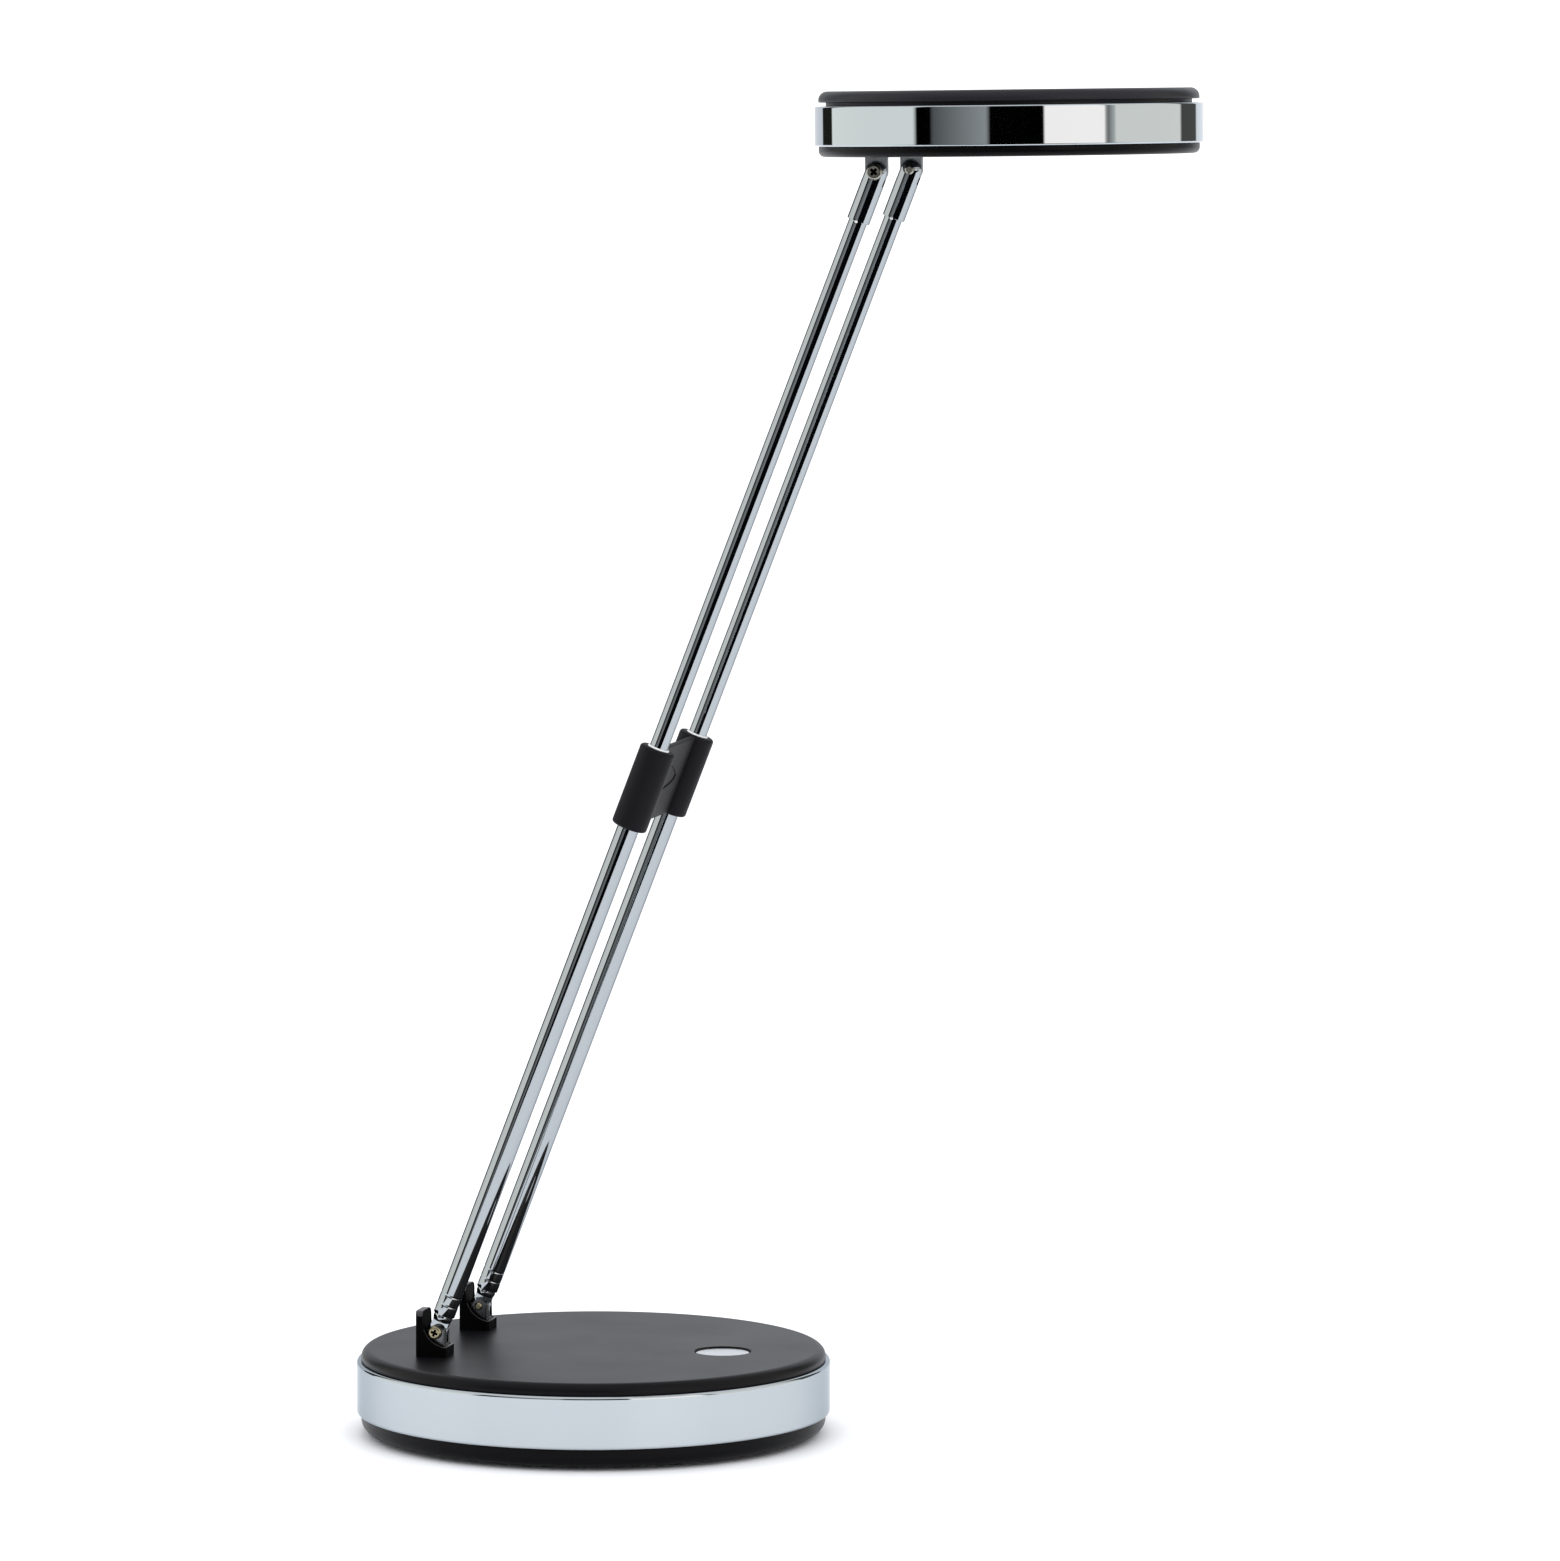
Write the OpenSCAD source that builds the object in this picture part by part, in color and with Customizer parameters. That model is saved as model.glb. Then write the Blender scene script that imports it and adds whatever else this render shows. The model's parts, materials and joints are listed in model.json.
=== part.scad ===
// Folding LED desk lamp: a weighted round base, two telescopic tubes that swing
// together on a base hinge, and a flat round head that tilts on the tube ends.
// Millimetres. The origin is the centre of the base on the surface it stands on,
// +Z is up, +X is the way the arms lean and the head reaches, and +Y runs along
// the hinge screws. "right" is the -Y side and "left" the +Y side.

/* [Base shell] */
// Outer diameter of the chrome band round the base
base_band_d = 130; // [126:1:140]
// Height of the base band
base_band_h = 14.5; // [13:0.5:17]
// Radial thickness of the base band
base_band_t = 3; // [2.6:0.1:3.4]
// How far the cover's rim lies inside the band's outer face
cover_inset = 1.3; // [1.2:0.05:2.2]
// How far the cover stands above the band
cover_rise = 3.2; // [2.8:0.1:4]
// Radius of the cover's rounded rim
cover_edge_r = 2.4; // [1.5:0.1:2.6]
// Thickness of the cover's top plate
cover_t = 2.2; // [1.8:0.1:2.6]
// How far the pan's rim lies inside the band's outer face
pan_inset = 1.3; // [1.2:0.05:2.2]
// How far the pan reaches below the band
pan_drop = 5; // [5:0.5:7]
// Radius of the pan's rounded lower rim
pan_edge_r = 3.2; // [1.5:0.1:3.5]
// Thickness of the pan's floor
pan_t = 2; // [1.6:0.1:2.4]
// Thickness of the walls that stand inside the band
spigot_t = 2; // [1.6:0.1:2.4]
// Height of the walls that stand inside the band
spigot_h = 5; // [3:0.5:6]
// How far the non-slip pad's rim lies inside the pan's
pad_inset = 20.2; // [19.6:0.1:24]
// Thickness of the pad
pad_t = 1.5; // [1.2:0.1:2]
// How far the pad stands out of the pan
pad_proud = 1; // [0.6:0.1:1.1]
// Gap round the steel ballast plate
ballast_gap = 5.95; // [5.4:0.05:7]
// Thickness of the ballast plate
ballast_t = 5; // [3:0.5:5]
// How far the screws that close the base stand inside its inner wall
base_screw_inset = 12.45; // [11.95:0.05:13.95]
// Diameter of the screws that close the base
base_screw_d = 3; // [2.5:0.5:3.5]

/* [Power button and control board] */
// Distance of the button from the band's outer face, at the front
button_inset = 28.7; // [27:0.1:33]
// Diameter of the button's face
button_d = 14.8; // [12:0.2:16]
// Depth of the button's face below the cover
button_sink = 0.45; // [0.2:0.05:0.6]
// Gap round the button
button_gap = 0.3; // [0.2:0.05:0.5]
// Stroke of the button
button_travel = 0.8; // [0.4:0.1:0.8]
// Length of the control board
board_l = 46; // [42:1:46]
// Width of the control board
board_w = 34; // [30:1:38]
// Thickness of the control board
board_t = 1.6; // [1.2:0.2:1.8]
// Distance from the cover's underside down to the board
board_drop = 7.9; // [7.6:0.1:8.2]
// Side of the square switch body
switch_w = 6; // [5:0.5:7]
// Height of the switch body
switch_h = 3.5; // [3.2:0.1:3.7]
// Diameter of the switch plunger
plunger_d = 3.4; // [2.8:0.1:3.6]

/* [DC inlet] */
// Diameter of the inlet's round nose
inlet_d = 8; // [7:0.5:8.5]
// Width and height of the inlet's body
inlet_w = 9; // [8.6:0.2:9.4]
// Length of the inlet's body
inlet_l = 13; // [11:0.5:14]
// Diameter of the socket in the nose
socket_d = 5.6; // [5:0.1:6]
// Diameter of the pin in the socket
socket_pin_d = 2; // [1.6:0.1:2.5]
// Depth of the socket
socket_depth = 9; // [8:0.5:10]

/* [Base hinge] */
// Place of the hinge line along the base
hinge_x = -38; // [-39:0.5:-36]
// Distance from the middle plane to each arm
arm_y = 23.5; // [21:0.5:25]
// Height of the hinge line over the base cover
hinge_rise = 6.5; // [6.5:0.1:7]
// Width of a hinge bracket along the hinge line
bracket_w = 9.8; // [9.6:0.1:11]
// Length of a bracket in front of the hinge line
bracket_front = 3.5; // [3.4:0.1:4]
// Height of a bracket
bracket_h = 12.5; // [11:0.1:13]
// Thickness of a bracket's back wall
bracket_back_t = 1.95; // [1.6:0.05:2.4]
// Thickness of a bracket's side walls
bracket_side_t = 0.85; // [0.7:0.05:0.9]
// Thickness of a bracket's floor
bracket_floor_t = 1.6; // [1.2:0.1:1.8]
// Radius of the scoop that opens a bracket's side walls
scoop_r = 7.1; // [6.8:0.1:7.2]
// Rounding of a bracket's top corners
bracket_top_r = 2; // [1.2:0.1:2.2]
// Half the length of a hinge lug
lug_half = 2.8; // [2.6:0.05:2.85]
// Width of a hinge lug along the hinge line
lug_w = 5.2; // [4.8:0.1:5.4]
// Height of a lug's shoulders over the hinge line
lug_shoulder = 0.75; // [0.3:0.05:0.8]
// Diameter of a lug's threaded stem
stem_d = 4; // [3.5:0.5:4]
// Thickness of the tongue on a tube's foot
tongue_t = 2; // [1.6:0.1:2.2]
// Diameter of the hinge screws at the base
foot_screw_d = 2; // [1.6:0.1:2.2]
// Diameter of their heads
foot_head_d = 3.7; // [3.4:0.1:3.8]

/* [Arms] */
// Lean of the arms from upright, as photographed
arm_lean = 21; // [10:1:40]
// Distance from hinge line to hinge line, arms drawn out
arm_l = 338; // [320:1:340]
// Outer diameter of the lower tubes
lower_d = 6; // [5.9:0.1:6.2]
// Wall of the lower tubes
lower_t = 0.4; // [0.3:0.05:0.4]
// Distance from the hinge line to the lower tube's foot
lower_start = 5; // [4.8:0.1:5.5]
// Distance from the hinge line to the lower tube's mouth
lower_end = 171; // [160:1:175]
// Distance from the hinge line to the top of the foot's plug
plug_end = 10; // [8.5:0.5:11]
// Wall of the upper tubes
upper_t = 0.4; // [0.3:0.05:0.5]
// Running clearance round the upper tube in the lower tube
slide_gap = 0.1; // [0.08:0.01:0.1]
// Length of the upper arms' stroke
arm_travel = 140; // [100:5:140]
// Outer diameter of the clip's sleeves
clip_d = 9.8; // [9:0.1:10]
// Length of the clip's sleeves
clip_l = 23; // [18:0.5:26]
// Thickness of the clip's web
clip_web_t = 1.6; // [1.2:0.1:3]
// Diameter of the fork sleeves
fork_d = 6.2; // [6:0.1:6.4]
// Length of a fork sleeve below the head hinge line
fork_l = 14; // [12:0.5:16]

/* [Head] */
// Tilt of the head as photographed
head_rest = -0.8; // [-5:0.1:5]
// Outer diameter of the chrome band round the head
head_band_d = 104; // [100:1:110]
// Height of the head band
head_band_h = 10.7; // [10.3:0.1:12]
// Radial thickness of the head band
head_band_t = 2.4; // [2.2:0.1:2.6]
// How far the head cover's rim lies inside the band's outer face
head_cover_inset = 1; // [0.9:0.05:1.8]
// How far the head cover stands above its band
head_cover_rise = 4; // [3.8:0.1:4.6]
// Height of the groove between the band and the head cover's rim
head_groove_h = 1; // [0.6:0.1:1.2]
// Radius of the head cover's rounded rim
head_edge_r = 2.4; // [1.2:0.1:2.5]
// Thickness of the head's plates
head_t = 2; // [1.8:0.1:2.2]
// How far the bezel's rim lies inside the band's outer face
bezel_inset = 1; // [0.9:0.05:2]
// How far the bezel reaches below the band
bezel_drop = 2.8; // [2.6:0.1:3.2]
// Distance from the head hinge line up to the bezel
head_gap = 3.95; // [3.9:0.05:4.4]
// Distance from the head band's outer face to the head hinge line
head_hinge_inset = 20.6; // [18:0.1:21]
// Width of the bezel round the light opening
bezel_ring_w = 22; // [21:0.5:25]
// Width of the ledge that carries the diffuser
ledge_w = 2; // [1.5:0.1:2]
// Thickness of the diffuser
diffuser_t = 1.6; // [1.2:0.1:1.7]
// Depth of the reflector tray
reflector_h = 5.8; // [5.5:0.1:6]
// Gap between the heat plate and the wall round it
heat_plate_gap = 8.45; // [8.2:0.05:10]
// Width of the tabs that hang from the head
tab_w = 6; // [5.6:0.1:6]
// Thickness of the tabs
tab_t = 2; // [1.6:0.1:2.2]
// Diameter of the hinge screws at the head
head_screw_d = 2.5; // [2:0.1:2.6]
// Diameter of their heads
head_head_d = 4.2; // [3.8:0.1:4.4]
// Number of light-emitting diodes in the inner ring; each next ring has as many more
led_ring_n = 6; // [4:1:7]
// Room between the outer ring of diodes and the reflector, from their middles
led_edge_gap = 4.4; // [4:0.1:8]

/* [Clearances] */
// Radial clearance of a pin, screw or stem in its hole
pin_gap = 0.05; // [0.03:0.01:0.08]
// Clearance of each face of a tongue or tab in its slot
slot_gap = 0.05; // [0.03:0.01:0.1]
// Clearance of a part that is set into another
seat_gap = 0.05; // [0.03:0.01:0.1]

/* [Hidden] */
$fn = 72;
eps = 1;
// How deep a boss is rooted in the plate that carries it
root = 0.5;
right = -1;
left = 1;
SIDES = [right, left];

// Heights in the base, from the table up
pan_z = pad_proud;
band_z = pan_z + pan_drop;
band_top_z = band_z + base_band_h;
cover_top_z = band_top_z + cover_rise;
cover_under_z = cover_top_z - cover_t;
pan_recess_z = pan_z + pad_t - pad_proud;
pan_floor_z = pan_recess_z + pan_t;
ballast_top_z = pan_floor_z + ballast_t;

// Radii in the base, from the band inwards
base_band_r = base_band_d / 2;
base_band_in_r = base_band_r - base_band_t;
cover_r = base_band_r - cover_inset;
pan_r = base_band_r - pan_inset;
base_spigot_r = base_band_in_r - seat_gap;
base_inner_r = base_spigot_r - spigot_t;
band_edge_r = 0.9;
pad_r = pan_r - pad_inset;
ballast_r = base_inner_r - ballast_gap;

// Screws that close the base
BASE_SCREW_ANGLES = [45, 135, 225, 315];
base_screw_r = base_inner_r - base_screw_inset;
base_standoff_d = base_screw_d + 6;
base_boss_d = base_screw_d + 4;
base_head_d = base_screw_d + 2.4;
base_head_h = 2;
base_screw_seat_z = pan_floor_z + 1.5;
base_screw_end_z = cover_under_z - 4;

// Button, switch and board
button_x = base_band_r - button_inset;
button_top_z = cover_top_z - button_sink;
button_flange_t = 1;
button_flange_w = 1;
button_rest_gap = 0.1;
button_flange_top_z = cover_under_z - button_rest_gap;
board_top_z = cover_under_z - board_drop;
board_z = board_top_z - board_t;
board_x = button_x - 10;
switch_top_z = board_top_z + switch_h;
plunger_in = 0.9;
plunger_out = 2.3;
plunger_top_z = switch_top_z + plunger_out;
switch_bore_depth = plunger_in + button_travel + 0.2;
connector = [5, 14, 4.5];
connector_x = board_x - board_l / 2 + 0.5;
board_screw_inset = 3.2;
board_screw_d = 2;
board_boss_d = 4.6;
board_head_d = 3.6;
board_head_h = 1.2;
board_screw_hold = 5;

// DC inlet at the back of the base
inlet_z = (band_z + band_top_z) / 2;
inlet_nose_x = -base_band_r + 0.5;
inlet_body_x = -base_inner_r + 0.4;
inlet_under_z = inlet_z - inlet_w / 2;
cradle_front_x = -ballast_r - 0.4;
cradle_w = inlet_w + 2.4;
cradle_lip_h = 3;

// Base hinge
hinge_z = cover_top_z + hinge_rise;
tongue_r = 2.9;
foot_head_h = 1.3;
tube_r = lower_d / 2;
bracket_back_in = tube_r + 0.15;
bracket_back = bracket_back_in + bracket_back_t;
bracket_l = bracket_back + bracket_front;
bracket_corner_r = 1;
bracket_lip_t = bracket_front - lug_half - slot_gap;
scoop_x = bracket_back_t + scoop_r - bracket_back + 0.1;
scoop_z = scoop_r + bracket_floor_t + 1;
lug_base_z = bracket_floor_t - hinge_rise;
lug_slot = tongue_t + 2 * slot_gap;
lug_eye_r = foot_head_d / 2 + 0.05;
lug_slot_z = -tongue_r - 0.2;
lug_corner_r = 0.8;
cover_pad_t = 2;
cover_pad_d = 12;
tag_t = 0.6;
tag_d = 8;
tag_tail = 6;
tag_tail_w = 3;
nut_h = 3.2;
nut_across = stem_d * 1.75;
tag_z = cover_under_z - cover_pad_t - tag_t;
nut_z = tag_z - nut_h;
stem_end_z = nut_z - 0.8;

// Arms, measured along the arm from the base hinge line
neck_start = max(tongue_r, norm([lug_half, lug_shoulder])) + 0.15;
neck_r = tube_r - lower_t + 0.1;
lower_bore_r = tube_r - lower_t;
plug_r = lower_bore_r - seat_gap;
groove_r = 0.55;
groove_depth = 0.2;
GROOVES = [lower_start + 3, lower_start + 5.8];
upper_r = lower_bore_r - slide_gap;
upper_bore_r = upper_r - upper_t;
bush_h = 1.4;
bush_r = tube_r;
bush_bore_r = upper_r + pin_gap;
contact_r = lower_bore_r - 0.03;
contact_h = 4;
contact_spigot_h = 4;
// Room left under the contact bushes when the arms are pushed in
bottom_gap = 2;
upper_start = plug_end + bottom_gap + arm_travel + contact_h;
clip_end = lower_end + bush_h - 0.4;
clip_start = clip_end - clip_l;
clip_bore_r = tube_r + seat_gap;
clip_edge_r = 0.6;
clip_web_inset = 0.3;
fork_r = fork_d / 2;
fork_start = arm_l - fork_l;
fork_slot = tab_t + 2 * slot_gap;
tab_r = tab_w / 2;
fork_slot_depth = tab_r + 0.2;
fork_bore_end = arm_l - fork_slot_depth - 2.3;
fork_flat_y = fork_r - 0.4;
fork_notch_r = 0.6;
head_head_h = 1.5;
head_screw_end = fork_r + 0.4;

// Head, measured from the head hinge line
bezel_z = head_gap;
bezel_floor_z = bezel_z + head_t;
head_band_z = bezel_z + bezel_drop;
head_band_top_z = head_band_z + head_band_h;
head_top_z = head_band_top_z + head_cover_rise;
head_under_z = head_top_z - head_t;
head_band_r = head_band_d / 2;
head_band_in_r = head_band_r - head_band_t;
head_reach = head_band_r - head_hinge_inset;
head_cover_r = head_band_r - head_cover_inset;
bezel_r = head_band_r - bezel_inset;
head_spigot_r = head_band_in_r - seat_gap;
head_spigot_t = 1.6;
head_spigot_h = 3.5;
head_inner_r = head_spigot_r - head_spigot_t;
head_rim_z = head_band_top_z + head_groove_h;
head_neck_t = 1.05;
head_neck_r = head_inner_r + head_neck_t;
bezel_edge_r = 1.6;
light_r = bezel_r - bezel_ring_w;
diffuser_r = light_r + ledge_w - seat_gap;
ledge_z = bezel_z + 0.6;
reflector_z = ledge_z + diffuser_t;
reflector_top_z = reflector_z + reflector_h;
reflector_wall = 1.2;
reflector_top_r = light_r - 3;
led_board_t = 1.6;
led_board_r = light_r + ledge_w - 1;
led_h = 0.8;
led_l = 3.5;
led_w = 2.8;
led_rings = 3;
led_ring_step = (reflector_top_r - led_edge_gap) / led_rings;
heat_plate_t = 1.5;
heat_plate_z = reflector_top_z + led_board_t;
heat_plate_r = head_inner_r - heat_plate_gap;
heat_post_z = heat_plate_z + heat_plate_t;
head_split_z = head_band_z + head_band_h / 2;
HEAT_SCREW_ANGLES = [60, 180, 300];
heat_screw_r = heat_plate_r - 3.5;
HEAD_SCREW_ANGLES = [0, 120, 240];
head_boss_d = 6.4;
head_boss_r = head_inner_r - head_boss_d / 2 + 0.3;
small_screw_d = 2.5;
small_head_d = 4.4;
small_head_h = 1.4;
head_boss_seat_z = bezel_z + 3;
tab_boss_h = 2.5;
tab_foot_z = bezel_floor_z + tab_boss_h;
tab_foot_t = 1.5;
tab_foot_l = 7;
tab_screw_y = arm_y - tab_t / 2 - tab_foot_l / 2;
lead_r = 0.7;
lead_bend = 0.06;
// Room between a lead's end and what it enters
lead_seat = 0.4;

// ---- Places -----------------------------------------------------------------

// Puts a part drawn for the right arm on either side, mirrored for the left one
module on_side(side) {
    translate([0, side * arm_y, 0]) mirror([0, side == left ? 1 : 0, 0]) children();
}

// The foot of an arm on the base: the hinge line over the base cover
module at_foot(side) {
    on_side(side) translate([hinge_x, 0, hinge_z]) children();
}

// Along an arm: +Z runs from the base hinge line to the head hinge line
module at_arm(side) {
    at_foot(side) rotate([0, arm_lean, 0]) children();
}

// The head's own frame: the origin is on the head hinge line in the middle plane
module at_head() {
    translate([hinge_x, 0, hinge_z]) rotate([0, arm_lean, 0]) translate([0, 0, arm_l])
        rotate([0, head_rest - arm_lean, 0]) children();
}

// The middle of the head, on the head hinge line's level
module at_head_middle() {
    at_head() translate([head_reach, 0, 0]) children();
}

// Copies of a part on a circle of radius r, one for each angle in the list
module on_circle(r, angles) {
    for (a = angles) rotate([0, 0, a]) translate([r, 0, 0]) children();
}

// ---- Shapes used more than once ---------------------------------------------

// Disc that stands on its z = 0 face, with a rounded upper edge
module puck(r, h, edge) {
    rotate_extrude() {
        square([r - edge, h]);
        square([r, h - edge]);
        intersection() {
            translate([r - edge, h - edge]) circle(edge);
            square([r, h]);
        }
    }
}

// Band with two rounded outer edges, standing on z = 0
module band(r, t, h, edge) {
    rotate_extrude() translate([r - t, 0]) {
        square([t - edge, h]);
        translate([0, edge]) square([t, h - 2 * edge]);
        translate([t - edge, edge]) circle(edge);
        translate([t - edge, h - edge]) circle(edge);
    }
}

// Tube from z = 0, with clean ends
module tube(r, bore_r, h) {
    difference() {
        cylinder(r = r, h = h);
        translate([0, 0, -eps]) cylinder(r = bore_r, h = h + 2 * eps);
    }
}

// Cylinder along Y, centred on the hinge line
module cross_cylinder(r, w) {
    rotate([90, 0, 0]) cylinder(r = r, h = w, center = true);
}

// Pan-head screw along +Z: the shank runs from 0 to len and the head lies below 0
module pan_screw(d, len, head_d, head_h) {
    recess = head_d * 0.62;
    slit = head_d * 0.15;
    difference() {
        union() {
            cylinder(d = d, h = len);
            mirror([0, 0, 1]) puck(head_d / 2, head_h, head_h * 0.45);
        }
        for (a = [0, 90])
            rotate([0, 0, a]) translate([-recess / 2, -slit / 2, -head_h - eps])
                cube([recess, slit, head_h * 0.55 + eps]);
    }
}

// Rounded rectangle, its corner at the origin
module soft_rectangle(l, w, r) {
    translate([r, 0]) square([l - 2 * r, w]);
    translate([0, r]) square([l, w - 2 * r]);
    for (x = [r, l - r], y = [r, w - r]) translate([x, y]) circle(r);
}

// Insulated lead through a list of points, with a slightly fuller bend at each of them
module lead(points, r) {
    for (i = [0 : len(points) - 2]) {
        step = points[i + 1] - points[i];
        translate(points[i])
            rotate([0, acos(step[2] / norm(step)), atan2(step[1], step[0])])
                cylinder(r = r, h = norm(step));
        if (i > 0) translate(points[i]) sphere(r + lead_bend, $fn = 24);
    }
}

// ---- Base -------------------------------------------------------------------

module foot_pad() {
    color("#26262a") cylinder(r = pad_r, h = pad_t);
}

// Room for the inlet's nose through the walls inside the band
module inlet_passage(d) {
    translate([-base_band_r - eps, 0, inlet_z]) rotate([0, 90, 0])
        cylinder(d = d + 2 * seat_gap, h = base_band_r - base_inner_r + 2 * eps);
}

// Cradle on the pan's floor that holds the inlet's body
module inlet_cradle() {
    l = cradle_front_x - inlet_body_x;
    difference() {
        translate([inlet_body_x, -cradle_w / 2, pan_floor_z - root])
            cube([l, cradle_w, inlet_under_z + cradle_lip_h - pan_floor_z + root]);
        translate([inlet_body_x - eps, -inlet_w / 2 - seat_gap, inlet_under_z])
            cube([l + 2 * eps, inlet_w + 2 * seat_gap, inlet_w]);
    }
}

module base_pan() {
    color("#2a2a2d") difference() {
        union() {
            difference() {
                union() {
                    translate([0, 0, band_z]) mirror([0, 0, 1]) puck(pan_r, pan_drop, pan_edge_r);
                    translate([0, 0, band_z]) cylinder(r = base_spigot_r, h = spigot_h);
                }
                translate([0, 0, pan_floor_z]) cylinder(r = base_inner_r, h = base_band_h);
            }
            on_circle(base_screw_r, BASE_SCREW_ANGLES) translate([0, 0, pan_floor_z - root])
                cylinder(d = base_standoff_d, h = ballast_t + root);
            inlet_cradle();
        }
        translate([0, 0, pan_z - eps]) cylinder(r = pad_r + 0.2, h = pan_recess_z - pan_z + eps);
        on_circle(base_screw_r, BASE_SCREW_ANGLES) {
            cylinder(d = base_head_d + 0.4, h = base_screw_seat_z);
            cylinder(d = base_screw_d + 2 * pin_gap, h = ballast_top_z + eps);
        }
        inlet_passage(inlet_d);
    }
}

module base_band() {
    color("#dfe4e8") difference() {
        translate([0, 0, band_z]) band(base_band_r, base_band_t, base_band_h, band_edge_r);
        inlet_passage(inlet_d);
    }
}

// Bosses under the cover: four for the base screws and four for the board
module cover_bosses() {
    rib_z = inlet_z + inlet_w / 2;
    on_circle(base_screw_r, BASE_SCREW_ANGLES) translate([0, 0, ballast_top_z])
        cylinder(d = base_boss_d, h = cover_under_z - ballast_top_z + root);
    at_board_screws() translate([0, 0, board_top_z])
        cylinder(d = board_boss_d, h = board_drop + root);
    for (side = SIDES) translate([hinge_x, side * arm_y, cover_under_z - cover_pad_t])
        cylinder(d = cover_pad_d, h = cover_pad_t + root);
    translate([inlet_body_x + 1, -inlet_w / 4, rib_z])
        cube([cradle_front_x - inlet_body_x - 1, inlet_w / 2, cover_under_z - rib_z + root]);
}

module base_cover() {
    hollow_h = cover_under_z - band_top_z + spigot_h;
    color("#3c3c40") difference() {
        union() {
            difference() {
                union() {
                    translate([0, 0, band_top_z]) puck(cover_r, cover_rise, cover_edge_r);
                    translate([0, 0, band_top_z - spigot_h]) cylinder(r = base_spigot_r, h = spigot_h);
                }
                translate([0, 0, band_top_z - spigot_h - eps])
                    cylinder(r = base_inner_r, h = hollow_h + eps);
            }
            cover_bosses();
        }
        translate([button_x, 0, cover_under_z - eps])
            cylinder(r = button_d / 2 + button_gap, h = cover_t + 2 * eps);
        for (side = SIDES) translate([hinge_x, side * arm_y, cover_under_z - cover_pad_t - eps])
            cylinder(d = stem_d + 2 * pin_gap, h = cover_t + cover_pad_t + 2 * eps);
        on_circle(base_screw_r, BASE_SCREW_ANGLES) translate([0, 0, ballast_top_z - eps])
            cylinder(d = base_screw_d + 2 * pin_gap, h = base_screw_end_z - ballast_top_z + eps + 0.5);
        at_board_screws() translate([0, 0, board_top_z - eps])
            cylinder(d = board_screw_d + 2 * pin_gap, h = board_drop - 1 + eps);
        inlet_passage(inlet_d);
    }
}

module base_screws() {
    color("silver") on_circle(base_screw_r, BASE_SCREW_ANGLES) translate([0, 0, base_screw_seat_z])
        pan_screw(base_screw_d, base_screw_end_z - base_screw_seat_z, base_head_d, base_head_h);
}

module ballast_plate() {
    color("slategray") translate([0, 0, pan_floor_z]) difference() {
        cylinder(r = ballast_r, h = ballast_t);
        on_circle(base_screw_r, BASE_SCREW_ANGLES) translate([0, 0, -eps])
            cylinder(d = base_standoff_d + 0.6, h = ballast_t + 2 * eps);
    }
}

// ---- Button, switch and board -----------------------------------------------

module at_board_screws() {
    dx = board_l / 2 - board_screw_inset;
    dy = board_w / 2 - board_screw_inset;
    for (x = [-dx, dx], y = [-dy, dy]) translate([board_x + x, y, 0]) children();
}

module control_board() {
    color("#1f5a3a") difference() {
        translate([board_x - board_l / 2, -board_w / 2, board_z]) cube([board_l, board_w, board_t]);
        at_board_screws() translate([0, 0, board_z - eps])
            cylinder(d = board_screw_d + 2 * pin_gap, h = board_t + 2 * eps);
    }
}

// Lead connector, inductor, two capacitors and the driver chip on the board
module board_parts() {
    coil_r = 4;
    coil_h = 5;
    coil_back = 8;
    can_r = 2.5;
    can_h = 6;
    can_back = 10;
    can_gap = 1;
    chip = [5, 4, 1.6];
    chip_back = 1;
    side_y = connector[1] / 2;
    color("#4a4f57") translate([0, 0, board_top_z]) {
        translate([connector_x, -side_y, 0]) cube(connector);
        translate([board_x - coil_back, -side_y, 0]) cylinder(r = coil_r, h = coil_h);
        for (y = [side_y - can_r, side_y + can_r + can_gap])
            translate([board_x - can_back, y, 0]) cylinder(r = can_r, h = can_h);
        translate([board_x - chip_back, -side_y - chip[1] / 2, 0]) cube(chip);
    }
}

module board_screws() {
    color("silver") at_board_screws() translate([0, 0, board_z])
        pan_screw(board_screw_d, board_t + board_screw_hold, board_head_d, board_head_h);
}

module tact_switch() {
    color("#303236") difference() {
        translate([button_x - switch_w / 2, -switch_w / 2, board_top_z])
            cube([switch_w, switch_w, switch_h]);
        translate([button_x, 0, switch_top_z - switch_bore_depth])
            cylinder(d = plunger_d + 2 * pin_gap, h = switch_bore_depth + eps);
    }
}

module switch_plunger() {
    color("#8a6a3a") translate([button_x, 0, switch_top_z - plunger_in])
        cylinder(d = plunger_d, h = plunger_in + plunger_out);
}

module power_button() {
    flange_z = button_flange_top_z - button_flange_t;
    color("#c9ccd1") translate([button_x, 0, 0]) {
        translate([0, 0, button_flange_top_z])
            puck(button_d / 2, button_top_z - button_flange_top_z, 0.3);
        translate([0, 0, flange_z])
            cylinder(r = button_d / 2 + button_flange_w, h = button_flange_t);
        translate([0, 0, plunger_top_z]) cylinder(d = plunger_d + 1, h = flange_z - plunger_top_z + 0.1);
    }
}

// ---- DC inlet and leads -----------------------------------------------------

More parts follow.
